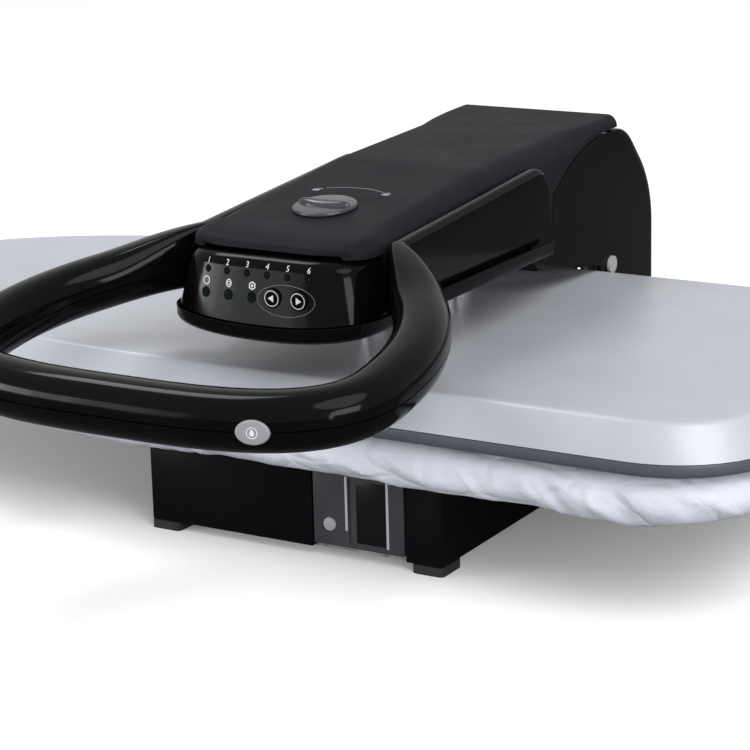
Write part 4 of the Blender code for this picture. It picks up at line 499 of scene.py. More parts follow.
# Cotton cover
# A bluish white, silver-backed cotton cover is pulled over the pad and drawn in under the board by
# a cord in its hem, so its edge band shows slanting pull wrinkles and small gathers.
BAND_STEPS, FRONT_STEPS, CORNER_STEPS, NOSE_STEPS = 26, 236, 44, 300
COVER_TOP, TOP_DIP, TOP_DIPS, CLOTH_THICKNESS = 0.0755, 0.0009, ((0.0006, 24), (0.0004, 75)), 0.0006
BAND = ((-0.0180, 0.0526), (-0.0140, 0.0524), (-0.0100, 0.0523), (-0.0060, 0.0519), (-0.0020, 0.0518),
        (0.0020, 0.0521), (0.0056, 0.0532), (0.0080, 0.0556), (0.0092, 0.0585), (0.0094, 0.0617),
        (0.0090, 0.0648), (0.0078, 0.0680), (0.0055, 0.0712), (0.0020, 0.0738), (-0.0020, 0.0749),
        (-0.0070, 0.0753))
FOLDS_PER_METRE, FOLD_SLANT, PINCHES_PER_METRE, PINCH_SLANT, SLANT_DRIFT = 40, 0.055, 58, 0.030, 0.050
FOLD_PUSH, FOLD_DROP, GATHERS_PER_METRE, GATHER_PUSH, GATHER_END_SHARE = 0.0028, 0.0009, 83, 0.0005, 0.34
BELLY_START_SHARE, BELLY_SHARE, HEM_SHARE = 0.12, 0.80, 0.14
SAG, SAG_PLACE_SHARE, SAG_REACH_SHARE = 0.0034, 0.30, 0.16


def band_at(share):
    """A point of the cover's edge band, from hem to top, smoothly between its given places."""
    reach = share * (len(BAND) - 1)
    k = min(int(reach), len(BAND) - 2)
    t = reach - k
    four = [min(max(j, 0), len(BAND) - 1) for j in (k - 1, k, k + 1, k + 2)]
    before, start, end, after = (Vector(BAND[j]) for j in four)
    return (start * 2 + (end - before) * t + (before * 2 - start * 5 + end * 4 - after) * t * t
            + (start * 3 - before - end * 3 + after) * t ** 3) / 2


def pull_folds(along, share):
    """Height of the slanting folds at a place on the band: 0 in the valleys, about 1 on the ridges."""
    def spot(per_metre, shift, rise):
        turn = math.tau * (along + shift) / round_way
        reach = per_metre * round_way / math.tau
        return Vector((math.cos(turn) * reach, math.sin(turn) * reach, rise))

    def ripple(per_metre, shift, rise):
        return noise.noise(spot(per_metre, shift, rise))

    lean = SLANT_DRIFT * ripple(5, 0, 7.0)
    lines = ripple(FOLDS_PER_METRE, (FOLD_SLANT + lean) * share, share * 1.5 + 2.0)
    strong = 0.45 + 1.1 * abs(ripple(10, 0.02 * share, share * 0.8 + 4.0))
    near = noise.voronoi(spot(PINCHES_PER_METRE, (PINCH_SLANT - lean) * share, share * 1.9 + 30))[0]
    creases = 1 - min((near[1] - near[0]) * 2.0, 1)
    return strong * 0.70 * (1 - min(abs(lines) * 3.0, 1)) ** 1.7 + 0.50 * creases


def clamped(value):
    """A value kept from 0 to 1."""
    return min(max(value, 0), 1)


def cover_outline(grow):
    """The plate's outline in the steps of the cover's points."""
    return plate_outline(grow, FRONT_STEPS, CORNER_STEPS, NOSE_STEPS)


lengths = [0.0]
plan = cover_outline(0.0)
for k in range(1, len(plan)):
    lengths.append(lengths[-1] + (Vector(plan[k]) - Vector(plan[k - 1])).length)
round_way = lengths[-1] + (Vector(plan[0]) - Vector(plan[-1])).length
gather_count = round(round_way * GATHERS_PER_METRE)
rows, cut_rows = [], []
steps = [band_at(k / BAND_STEPS) for k in range(BAND_STEPS + 1)]
from_top = [sum((b - a).length for a, b in zip(steps[k:], steps[k + 1:])) for k in range(BAND_STEPS + 1)]
for k, (grow, z) in enumerate(steps):
    share = k / BAND_STEPS
    row = []
    outline = cover_outline(grow)
    belly = math.sin(math.pi * clamped((share - BELLY_START_SHARE) / BELLY_SHARE))
    low = max(0, 1 - abs(share - SAG_PLACE_SHARE) / SAG_REACH_SHARE)
    for j, (x, y) in enumerate(outline):
        before, after = Vector(outline[j - 1]), Vector(outline[(j + 1) % len(outline)])
        out = Vector(((after - before).y, -(after - before).x)).normalized()
        along = lengths[j]
        circle = math.tau * along / round_way
        place = Vector((math.cos(circle), math.sin(circle))) * round_way / math.tau
        fold = pull_folds(along, share)
        gathers = 0.5 + 0.5 * math.cos(gather_count * circle + 5 * noise.noise(place.to_3d() * 9))
        sway = 0.5 + 0.9 * noise.noise(Vector((place.x * 14, place.y * 14, 3.0)))
        push = belly * FOLD_PUSH * (fold - 0.3) - GATHER_PUSH * gathers * max(0, 1 - share / GATHER_END_SHARE)
        drop = SAG * low * clamped(sway) + FOLD_DROP * belly * (fold - 0.5)
        row.append((x + out.x * push, y + out.y * push, z if share < HEM_SHARE else z - drop))
    rows.append(row)
    cut_rows.append(cover_outline(steps[-1][0] + from_top[k]))
top_edge = rows[-1]
for shrink in (0.97, 0.92, 0.86, 0.78, 0.69, 0.60, 0.50, 0.40, 0.30, 0.20, 0.11, 0.05, 0.01):
    row = []
    for x, y, _ in top_edge:
        place = Vector((x * shrink, y * shrink, 0))
        dip = sum(depth * (0.5 + noise.noise(place * per_metre)) for depth, per_metre in TOP_DIPS)
        row.append((place.x, place.y, COVER_TOP - min(max(dip, 0), TOP_DIP)))
    rows.append(row)
    cut_rows.append([(x, y) for x, y, _ in row])

cover = skin(rows, closed=True, cut=cut_rows)
edit(cover, bpy.ops.mesh.merge, verts=lambda place: place.z > BAND[0][1] + 0.01 and place.xy.length < 0.005,
     type="CENTER")
thicken(cover, CLOTH_THICKNESS, even=False)

COTTON_COLOUR, CREASE_DEPTH, CREASE_SLANT = (0.60, 0.62, 0.70), 0.0012, math.radians(-32)
CREASES_PER_METRE, CREASE_STRETCH, CREASE_EDGE, CREASE_SHARE = 21, 2.3, 0.10, 4.5
WANDER, WANDERS_PER_METRE, WEAVE_PER_METRE, PATCHES_PER_METRE = 0.018, 26, 95, 14
SHEEN = {"Sheen Weight": 0.15}
COTTON_WHITE, tree, shader = bare_finish("silver_white_cotton", COTTON_COLOUR, 0.72, more=SHEEN)
shade(tree, shader, COTTON_COLOUR, 0.07, spread(tree, grain(tree, PATCHES_PER_METRE, 4, source="UV"), 0, 1))
cloth = add_node(tree, "TexCoord").outputs["UV"]
wander = add_node(tree, "TexNoise", {"Vector": cloth, "Scale": WANDERS_PER_METRE, "Detail": 3}).outputs["Color"]
strays = {0: wander, 1: (WANDER, WANDER, 0), 2: cloth}
strayed = add_node(tree, "VectorMath", strays, operation="MULTIPLY_ADD")
slant = add_node(tree, "Mapping", {
    "Vector": strayed.outputs[0], "Rotation": (0, 0, CREASE_SLANT), "Scale": (1.0, CREASE_STRETCH, 1.0),
})
cells = {"Vector": slant.outputs[0], "Scale": CREASES_PER_METRE}
pinched = add_node(tree, "TexVoronoi", cells, feature="DISTANCE_TO_EDGE")
sharp = add_node(tree, "Math", {0: pinched.outputs["Distance"], 1: CREASE_EDGE}, operation="MINIMUM")
weave = grain(tree, WEAVE_PER_METRE, 7, source="UV")
heights = {0: sharp.outputs[0], 1: CREASE_SHARE, 2: weave}
creased = add_node(tree, "Math", heights, operation="MULTIPLY_ADD")
dent(tree, shader, creased.outputs[0], CREASE_DEPTH)
settle(cover, "cotton_cover", COTTON_WHITE, "base", ["board_cover"], 60)


# Hinge column
# Steel cheeks on the rear of the base hold a pin with rubber spacers and a lift spring; a black
# cover closes round their foot. The arm turns on the pin.
dress(ZINC_STEEL, "column_frame", "hinge_pin", "pin_clip", "lift_spring")
dress(RUBBER_BLACK, "bush_left", "bush_right")
dress(BASE_BLACK, "column_cover")


# Heated plate
# A cast aluminium sole with steam holes, a tubular heater and a steam chamber, under felt and a
# silver painted lid with a slanted skirt. A slate grey plastic rim runs round the lid's foot, and
# two posts screwed to the arm carry it all.
ALUMINIUM = finish("cast_aluminium", (0.60, 0.60, 0.61), 0.08, patches=(30, 3), gloss=(0.22, 0.40),
                   wear=(260, 3, (0.06, 1, 1)), grit=(420, 2, (0.05, 1, 1)), depth=0.00002, metallic=1.0)
dress(ALUMINIUM, "soleplate", "steam_chamber", "heating_element")
dress(moulded("insulation_felt", (0.62, 0.60, 0.55), 0.95, 500, 0.0003), "insulation_sheet")
dress(ZINC_STEEL, "thermal_cutout")
dress(ZINC_STEEL, "plate_post_front", "plate_post_rear", "post_screw_front", "post_screw_rear")

SLATE_GREY = moulded("slate_grey_plastic", (0.070, 0.080, 0.098), 0.42, 1300, 0.00004)
SKIRT_SPREAD, RIM_WIDTH = 0.0125, 0.013
RIM_LOW, RIM_TOP = 0.0762, 0.0830
rim_profile = (
    (-RIM_WIDTH, RIM_LOW), (-0.0022, RIM_LOW), (-0.0009, RIM_LOW + 0.0005), (-0.0002, RIM_LOW + 0.0014),
    (0, RIM_LOW + 0.0026), (0, RIM_TOP - 0.0008), (-0.0002, RIM_TOP - 0.0002), (-0.0008, RIM_TOP),
    (-RIM_WIDTH, RIM_TOP),
)
rim_rows = [ring_at(plate_outline(SKIRT_SPREAD + step), z) for step, z in rim_profile]
rim = skin(rim_rows + rim_rows[:1], closed=True)
outward(rim)
settle(rim, "slate_rim", SLATE_GREY, "plate_arm", ["plate_rim"])

LID_FOOT, LID_TOP, LID_WALL = 0.0833, 0.1000, 0.002
NEAR = 0.0001  # points this close count as in one place
POST_HOLE, POST_Y = 0.0083, (-0.035, 0.060)
SILVER = finish("silver_paint", (0.465, 0.480, 0.528), 0.05, patches=(16, 3), gloss=(0.30, 0.44),
                wear=(900, 2), grit=(2600, 2), depth=0.00002, metallic=0.10, specular=0.3,
                more={"Coat Weight": 0.10, "Coat Roughness": 0.30})
lid_profile = (
    (SKIRT_SPREAD, LID_FOOT), (0.0124, LID_FOOT + 0.0004), (0.0022, 0.0972), (0.0012, 0.0985),
    (0.0004, 0.0993), (-0.0006, 0.0998), (-0.0020, LID_TOP), (-0.0080, LID_TOP),
)
lid = skin([ring_at(plate_outline(grow), z) for grow, z in lid_profile], closed=True)
cap(lid, lambda place: place.z > LID_TOP - NEAR)
thicken(lid, LID_WALL)
for y in POST_Y:
    carve(lid, rod(POST_HOLE, (0, y, LID_TOP - 2 * LID_WALL), (0, y, LID_TOP + 2 * LID_WALL)))
settle(lid, "plate_lid", SILVER, "plate_arm", ["plate_housing"])


# Arm tray
# The arm's lower shell in satin black plastic, a shallow channel whose lips stand out on both sides
# under the handle's legs. It is screwed to the steel frame above it.
SATIN_BLACK = moulded("satin_black_plastic", (0.005, 0.005, 0.006), 0.33, 1500, 0.00003, specular=0.05)
TRAY_HALF_WIDTH, TRAY_FRONT, TRAY_BACK = 0.0670, -0.1040, 0.0475
TRAY_LOW, TRAY_TOP, TRAY_ROUND, TRAY_EDGE, ARM_WALL = 0.1285, 0.1365, 0.0030, 0.0005, 0.0022
tray = crate((-TRAY_HALF_WIDTH, TRAY_FRONT, TRAY_LOW), (TRAY_HALF_WIDTH, TRAY_BACK, TRAY_TOP))
edit(tray, bpy.ops.mesh.delete, faces=lambda centre, normal: normal.z > 0.5 or abs(normal.y) > 0.5,
     type="FACE")
edit(tray, bpy.ops.mesh.bevel, offset=TRAY_ROUND, segments=6,
     edges=lambda a, b: max(a.z, b.z) < TRAY_LOW + TRAY_ROUND and abs(a.x - b.x) < TRAY_ROUND)
thicken(tray, ARM_WALL)
round_edges(tray, TRAY_EDGE, 2, 50)
carve(tray, rod(POST_HOLE, (0, POST_Y[0], TRAY_LOW - CUT_PAST), (0, POST_Y[0], TRAY_LOW + 0.006)))
settle(tray, "arm_lower_tray", SATIN_BLACK, "plate_arm", ["arm_tray"])
dress(ZINC_STEEL, "arm_frame")
dress(BASE_BLACK, "cable_cover")


# Rear hood
# A rounded gloss black cover over the hinge, open below and in front, whose curved front edge meets
# the arm's lid. Light grey caps close the pin's holes in its sides.
GLOSS_BLACK = finish("gloss_black_plastic", (0.0022, 0.0022, 0.0027), 0.2, patches=(9, 3), gloss=(0.07, 0.14),
                     wear=(35, 4), grit=(55, 2), depth=0.00004, specular=0.08)
HOOD_HALF_WIDTH, HOOD_WALL, HOOD_ROUND, HOOD_FLAT_SHARE = 0.0525, 0.0025, 0.012, 0.10
HOOD_FRONT, HOOD_LOW, HOOD_STEP, HOOD_GAP = 0.0478, 0.1270, 0.1369, 0.0006
HOOD_BACK, HOOD_TOP, HOOD_RADIUS, HOOD_SKIRT, HOOD_STEPS = 0.2165, 0.1805, 0.0655, 0.0810, 32
HINGE_Y, HINGE_Z = 0.149, 0.101
STEP_Y, LID_BACK = 0.0745, 0.158
STEP_LOW, STEP_HIGH, STEP_INSET = 0.1375, 0.1830, 0.0014
EDGE_START_SHARE, EDGE_RISE_SHARE, EDGE_POWER = 0.40, 0.56, 2.6


def step_edge(share):
    """A point of the curved edge where the arm's lid meets the hood."""
    rise = EDGE_START_SHARE + EDGE_RISE_SHARE * (1 - (1 - share) ** EDGE_POWER)
    return between(STEP_Y, LID_BACK, share), between(STEP_LOW, STEP_HIGH, rise)


def joined(pieces):
    """Several objects made one."""
    alone(pieces[0])
    for piece in pieces:
        piece.select_set(True)
    bpy.ops.object.join()
    return bpy.context.object


def sheet_face(places):
    """One flat face with the given corners."""
    bpy.ops.mesh.primitive_circle_add(vertices=len(places), fill_type="NGON", radius=1, location=(0, 0, 0))
    face = bpy.context.object
    for vert, place in zip(face.data.vertices, places):
        vert.co = place
    return face


def eased(share):
    """A share from 0 to 1 that starts and ends softly."""
    share = clamped(share)
    return share * share * (3 - 2 * share)


def shoulder_row(k, steps=10):
    """One section of the hood's skin, from its left side up over its back to its right side."""
    y, z = skin_path[k]
    turn = math.radians(max(90 - 90 * k / HOOD_STEPS, 0))
    reach = HOOD_ROUND * between(HOOD_FLAT_SHARE, 1, eased((k - 3) / 13))
    row = []
    for way in (-1, 1):
        for j in range(steps + 1):
            bend = math.pi / 2 * (j if way > 0 else steps - j) / steps
            drop = reach * (1 - math.cos(bend))
            x = way * (HOOD_HALF_WIDTH - reach + reach * math.sin(bend))
            row.append((x, y - drop * math.cos(turn), z - drop * math.sin(turn)))
    return row


bow_y, bow_z = HOOD_BACK - HOOD_RADIUS, HOOD_TOP - HOOD_RADIUS
skin_path = arc(bow_y, bow_z, HOOD_RADIUS, HOOD_RADIUS, 90, 0, HOOD_STEPS) + [(HOOD_BACK, HOOD_SKIRT)]
rows = [shoulder_row(k) for k in range(len(skin_path))]
front = [(HOOD_FRONT, HOOD_LOW), (HOOD_FRONT, HOOD_STEP), (STEP_Y - STEP_INSET, HOOD_STEP)]
front += [(y + HOOD_GAP, z - HOOD_GAP) for y, z in (step_edge(k / 24) for k in range(20))]
eye = HINGE_Z - HOOD_SKIRT
foot = [(HINGE_Y - eye / 8, HINGE_Z - eye * 0.65), (HINGE_Y - eye / 2, HINGE_Z - eye / 4)]
foot += [(0.1347, 0.1030), (0.0603, 0.1160)]
pieces = [skin(rows)]
for end in (0, -1):
    side = front + [row[end][1:] for row in rows] + foot
    pieces.append(sheet_face([(rows[0][end][0], y, z) for y, z in side]))
hood = joined(pieces)
weld(hood)
outward(hood)
thicken(hood, HOOD_WALL)
settle(hood, "hinge_hood", GLOSS_BLACK, "plate_arm", ["arm_hood"], 40)
CAP_GREY = moulded("light_grey_plastic", (0.36, 0.36, 0.37), 0.42, 900, 0.00004)
dress(CAP_GREY, "pin_cap_left", "pin_cap_right")


# Control nose
# The blunt nose closes the arm's front: a gloss black panel, bowed and rounded at both sides, over
# a shallow tray with a thin lip. Lamps on the circuit board behind it show through small holes.
PANEL_BACK, PANEL_WALL, PANEL_ROUND, PANEL_LIP = -0.1120, 0.0022, 0.0060, 0.0125
PANEL_LOW, PANEL_TOP = 0.1272, 0.1603
LOW_HALF, TOP_HALF = 0.0572, 0.0495
LOW_FRONT, TOP_FRONT = -0.1490, -0.1430
NOSE_BOTTOM, NOSE_LIP, NOSE_BACK, NOSE_RISE = 0.1183, 0.0018, -0.1043, 0.0048
SIDE_BACK, FOOT_BACK, SKIRT_Z = -0.1096, -0.1046, 0.1368
LAMP_X, LAMP_PITCH, LAMP_Z, LAMP_HOLE = -0.0315, 0.0119, 0.1520, 0.0019
STATE_X, STATE_PITCH, STATE_Z, STATE_HOLE = -0.0319, 0.0140, 0.1403, 0.0027
ARROW_X, ARROW_Z, ARROW_HOLE = (0.0085, 0.0237), 0.1412, 0.0051


def nose_rise(x, z):
    """The nose's lower edges curve up towards its sides."""
    share = clamped((PANEL_TOP - z) / (PANEL_TOP - PANEL_LOW))
    return NOSE_RISE * share * min(abs(x / LOW_HALF), 1) ** 2


def nose_reach(z, inset):
    """The nose's half width at one height, and how far forward it stands."""
    share = (z - PANEL_LOW) / (PANEL_TOP - PANEL_LOW)
    return between(LOW_HALF, TOP_HALF, share) - inset, between(LOW_FRONT, TOP_FRONT, share) + inset


def nose_row(z, inset, steps=72):
    """The bowed front of the nose at one height, from its left side round to its right."""
    half, front = nose_reach(z, inset)
    row = []
    for k in range(steps + 1):
        turn = math.pi * (k / steps - 0.5)
        x = half * math.copysign(math.sqrt(abs(math.sin(turn))), turn)
        y = between(PANEL_BACK, front, math.sqrt(max(math.cos(turn), 0)))
        row.append((x, y, z + nose_rise(x, z)))
    return row


def crown(z):
    """How far the panel's face draws back where it rounds over at its top."""
    return PANEL_ROUND - math.sqrt(PANEL_ROUND ** 2 - max(z - PANEL_TOP + PANEL_ROUND, 0) ** 2)


def panel_front(x, z):
    """How far forward the panel's face stands at a place."""
    z -= nose_rise(x, z)
    half, front = nose_reach(z, crown(z))
    return between(PANEL_BACK, front, (1 - abs(x / half) ** 4) ** 0.25)


panel_rows = []
levels = [between(PANEL_LOW, PANEL_TOP - PANEL_ROUND, k / 10) for k in range(10)]
levels += [PANEL_TOP - PANEL_ROUND * (1 - math.sin(math.radians(9 * k))) for k in range(11)]
insets = [crown(min(z, PANEL_TOP - 0.0000001)) for z in levels]
for z, inset in zip(levels + [PANEL_TOP], insets + [PANEL_LIP]):
    row = nose_row(z, inset)
    back = SIDE_BACK if z > SKIRT_Z else FOOT_BACK
    panel_rows.append([(row[0][0], back, row[0][2])] + row + [(row[-1][0], back, row[-1][2])])
panel = skin(panel_rows)
thicken(panel, PANEL_WALL)
holes = [(LAMP_X + LAMP_PITCH * k, LAMP_Z, LAMP_HOLE) for k in range(6)]
holes += [(STATE_X + STATE_PITCH * k, STATE_Z, STATE_HOLE) for k in range(3)]
holes += [(x, ARROW_Z, ARROW_HOLE) for x in ARROW_X]
drills = []
for x, z, radius in holes:
    y = panel_front(x, z)
    drills.append(rod(radius, (x, y - CUT_PAST, z), (x, y + 2 * CUT_PAST, z), 32))
carve(panel, joined(drills))
settle(panel, "control_panel_face", GLOSS_BLACK, "plate_arm", ["control_panel"])

LIP_TOP, UNDER_TOP, UNDER_MIDDLE_Y = PANEL_LOW - 0.0006, PANEL_LOW - 0.0045, NOSE_BACK - 0.012
NOSE_PROFILE = (
    (NOSE_BOTTOM, 0.0024), (NOSE_BOTTOM + 0.0003, 0.0010), (NOSE_BOTTOM + 0.0010, -0.0003),
    (NOSE_BOTTOM + 0.0020, -0.0012), (NOSE_BOTTOM + 0.0034, -NOSE_LIP), (LIP_TOP - 0.0003, -NOSE_LIP),
    (LIP_TOP, 0.0003 - NOSE_LIP),
)
plan_rows = []
for z, inset in NOSE_PROFILE:
    row = [(x, y, z + nose_rise(x, z)) for x, y, _ in nose_row(PANEL_LOW, inset)]
    for (x, _, height), order in ((row[-1], (1, 2, 3, 4)), (row[0], (4, 3, 2, 1))):
        row += [(x, between(PANEL_BACK, NOSE_BACK, k / 4), height) for k in order]
    plan_rows.append(row)
under = []
for shrink in (0.45, 0.62, 0.78, 0.90, 0.97):
    places = [(x * shrink, between(UNDER_MIDDLE_Y, y, shrink)) for x, y, _ in plan_rows[0]]
    under.append([(x, y, NOSE_BOTTOM + nose_rise(x, NOSE_BOTTOM)) for x, y in places])
shell = skin(under + plan_rows, closed=True)
cap(shell, lambda place: place.z < UNDER_TOP and abs(place.x) < LOW_HALF / 2)
thicken(shell, PANEL_WALL)
settle(shell, "nose_lower_shell", GLOSS_BLACK, "plate_arm", ["nose_shell"])

LENS_COLOUR = (0.006, 0.011, 0.008)
LENS_GREEN, tree, shader = bare_finish("lamp_lens", LENS_COLOUR, 0.12, more={"Coat Weight": 0.6})
shade(tree, shader, LENS_COLOUR, 0.5, spread(tree, grain(tree, 420, 2), 0, 1))
dress(LENS_GREEN, "fabric_lamps", "state_lamps")
dress(CIRCUIT_GREEN, "control_board")


# Fabric and state marks
# White screen printing on the panel: a number over each of the six fabric lamps, a generic sign
# over each of the three state lamps, and a fine grey oval round the two arrow keys.
PRINT_WHITE = moulded("print_white", (0.62, 0.63, 0.66), 0.55, 900, 0.00002)
PRINT_GREY = moulded("print_grey", (0.16, 0.16, 0.17), 0.55, 900, 0.00002)
FIGURE_RISE, FIGURE_SIZE, SIGN_RISE, INK_PROUD = 0.0040, 0.0040, 0.0058, 0.0002
OVAL_DROP, OVAL_WIDE, OVAL_HIGH, OVAL_LINE = 0.0008, 0.0165, 0.0078, 0.00022
SIGNS = (
    (0, 0.0022, 0.0022, 0.0006, 32), (1, 0.0017, 0.0021, 0.0005, 32), (1, 0.0009, 0.0011, 0.0004, 24),
    (2, 0.0022, 0.0022, 0.0006, 6), (2, 0.0009, 0.0009, 0, 4),
)


def flat_ring(x, z, wide, high, line, steps):
    """A printed ring or oval, drawn upright, or a filled one where its line has no width."""
    bpy.ops.mesh.primitive_circle_add(
        vertices=steps, radius=1, fill_type="NGON", location=(x, 0, z), rotation=(math.pi / 2, 0, 0)
    )
    ring = bpy.context.object
    ring.scale = (wide, high, 1)
    bpy.ops.object.transform_apply()
    if line:
        pick(ring, faces=everywhere)
        bpy.ops.mesh.inset(thickness=line, depth=0)
        bpy.ops.mesh.delete(type="FACE")
        bpy.ops.object.mode_set(mode="OBJECT")
    return ring


def figure(text, x, z, size):
    """Printed figures, middled on a place."""
    bpy.ops.object.text_add(location=(x, 0, z), rotation=(math.pi / 2, 0, 0))
    words = bpy.context.object
    words.data.body = text
    words.data.size = size
    words.data.align_x = "CENTER"
    words.data.align_y = "CENTER"
    bpy.ops.object.convert(target="MESH")
    bpy.ops.object.transform_apply()
    return bpy.context.object


def printed(pieces, name, ink, height, body="plate_arm"):
    """Joins marks, lays them on a face given by its height at each place, and gives them their ink."""
    marks = joined(pieces)
    edit(marks, bpy.ops.mesh.quads_convert_to_tris, faces=everywhere)
    edit(marks, bpy.ops.mesh.flip_normals, faces=lambda centre, normal: normal.y > 0.5 or normal.z < -0.5)
    for vert in marks.data.vertices:
        vert.co = height(vert.co)
    return settle(marks, name, ink, body)


def on_panel(place):
    """A mark's place on the panel's face."""
    return Vector((place.x, panel_front(place.x, place.z) - INK_PROUD, place.z))


marks = [figure(str(k + 1), LAMP_X + LAMP_PITCH * k, LAMP_Z + FIGURE_RISE, FIGURE_SIZE) for k in range(6)]
for column, wide, high, line, steps in SIGNS:
    marks.append(flat_ring(STATE_X + STATE_PITCH * column, STATE_Z + SIGN_RISE, wide, high, line, steps))
printed(marks, "panel_marks", PRINT_WHITE, on_panel)
oval = flat_ring(sum(ARROW_X) / 2, ARROW_Z - OVAL_DROP, OVAL_WIDE, OVAL_HIGH, OVAL_LINE, 96)
printed([oval], "panel_oval", PRINT_GREY, on_panel)


# Arrow keys
# Two round press keys that pick the fabric, black with a printed white ring and triangle.
KEY_RADIUS, KEY_PROUD, KEY_BACK, KEY_EDGE = 0.0048, 0.0012, -0.1324, 0.0005
KEY_RING, KEY_LINE, KEY_TRIANGLE, KEY_INK_PROUD = 0.0041, 0.0004, 0.0021, 0.0001
for side, x, way in (("left", ARROW_X[0], -1), ("right", ARROW_X[1], 1)):
    front = panel_front(x, ARROW_Z) - KEY_PROUD
    name, body = "arrow_key_" + side, "select_" + side
    key = rod(KEY_RADIUS, (x, KEY_BACK, ARROW_Z), (x, front, ARROW_Z))
    edit(key, bpy.ops.mesh.bevel, edges=lambda a, b: max(a.y, b.y) < front + KEY_EDGE / 2,
         offset=KEY_EDGE, segments=3)
    settle(key, name, GLOSS_BLACK, body, ["arrow_button_" + side])
    ring = flat_ring(x, ARROW_Z, KEY_RING, KEY_RING, KEY_LINE, 48)
    triangle = flat_ring(x, ARROW_Z, KEY_TRIANGLE, KEY_TRIANGLE, 0, 3)
    edit(triangle, bpy.ops.transform.rotate, verts=everywhere, value=math.radians(-90 * way), orient_axis="Y",
         center_override=(x, 0, ARROW_Z))
    ink = front - KEY_INK_PROUD
    sign = [ring, triangle]
    printed(sign, name + "_sign", PRINT_WHITE, lambda place: Vector((place.x, ink, place.z)), body)


# Arm lid
# One long matte black moulding over the arm. Its front edge is softly rounded over the panel, its
# skirts run down beside the frame, and it ends in a curved edge over the hood.
MATTE_COLOUR = (0.0125, 0.0117, 0.0150)
MATTE_BLACK = moulded("matte_black_plastic", MATTE_COLOUR, 0.52, 1900, 0.00008, 0.04, 0.08, 0.04)
ARM_HALF_WIDTH, ARM_ROUND, SKIRT_BOTTOM = 0.0525, 0.0125, 0.1375
ARM_FRONT, ARM_BEND, ARM_BROW, SKIRT_FRONT = -0.1365, 0.003, 0.017, -0.1090
BEND_STEP, EDGE_STEP, BROW_POWER, BROW_ROUND = 0.003, 0.002, 2.6, 2.2
FRONT_Z, FRONT_RISE, BACK_Z, BACK_RISE = 0.1680, 0.0145, 0.1825, 0.0058
LIP, LID_BOW, LIP_SHARE, BROW_SHARE = PANEL_TOP + 0.0003, 0.0035, 0.25, 0.78
KNOB_Y, KNOB_HOLE = -0.0816, 0.0048
PIVOT_X, PIVOT_Y, PIVOT_Z, PIVOT_HOLE = 0.06, 0.026, 0.158, 0.0043


def lid_height(y):
    """Height of the arm's top along its middle."""
    if y < ARM_BEND:
        return FRONT_Z + FRONT_RISE * (y - ARM_FRONT) / (ARM_BEND - ARM_FRONT)
    return BACK_Z + BACK_RISE * (y - ARM_BEND) / (LID_BACK - ARM_BEND)


def lid_section(y, top, low, half, steps=12, skirt=6):
    """Across the lid, from its left skirt's lower edge over the top to the right one's."""
    radius = min(ARM_ROUND, (top - low) * 0.9)
    right = [(half, between(low, top - radius, k / skirt)) for k in range(skirt)]
    right += arc(half - radius, top - radius, radius, radius, 0, 90, steps)
    right += [((half - radius) * (1 - k / 8), top) for k in range(1, 8)]
    return [(-x, y, z) for x, z in right] + [(0, y, top)] + [(x, y, z) for x, z in reversed(right)]


lid_rows = []
for share in (0, 0.01, 0.03, 0.06, 0.11, 0.17, 0.24, 0.33, 0.45, 0.6, 0.8, 1.0):
    y = ARM_FRONT + ARM_BROW * share
    rise = between(LIP_SHARE, 1, (1 - (1 - share) ** BROW_POWER) ** (1 / BROW_ROUND))
    half = ARM_HALF_WIDTH * between(BROW_SHARE, 1, math.sqrt(1 - (1 - share) ** 2))
    section = lid_section(y, between(LIP, lid_height(y), rise), LIP, half)
    lid_rows.append([(x, y + LID_BOW * (1 - share) * abs(x / half) ** 5, z) for x, y, z in section])
brow_end = ARM_FRONT + ARM_BROW
places = [(between(brow_end, SKIRT_FRONT - EDGE_STEP, k / 3), LIP) for k in (1, 2, 3)]
places += [(between(SKIRT_FRONT, ARM_BEND - 2 * BEND_STEP, k / 10), SKIRT_BOTTOM) for k in range(11)]
places += [(ARM_BEND + k * BEND_STEP, SKIRT_BOTTOM) for k in (-1, 0, 1)]
places += [(between(ARM_BEND + 2 * BEND_STEP, STEP_Y - EDGE_STEP, k / 6), SKIRT_BOTTOM) for k in range(7)]
places += [step_edge(k / 20) for k in range(21)]
lid_rows += [lid_section(y, lid_height(y), low, ARM_HALF_WIDTH) for y, low in places]
arm_lid = skin(lid_rows)
thicken(arm_lid, ARM_WALL)
knob_top = lid_height(KNOB_Y)
carve(arm_lid, rod(KNOB_HOLE, (0, KNOB_Y, knob_top - 3 * CUT_PAST), (0, KNOB_Y, knob_top + CUT_PAST)))
carve(arm_lid, rod(PIVOT_HOLE, (-PIVOT_X, PIVOT_Y, PIVOT_Z), (PIVOT_X, PIVOT_Y, PIVOT_Z)))
settle(arm_lid, "arm_lid", MATTE_BLACK, "plate_arm", ["arm_top_cover"], 40)


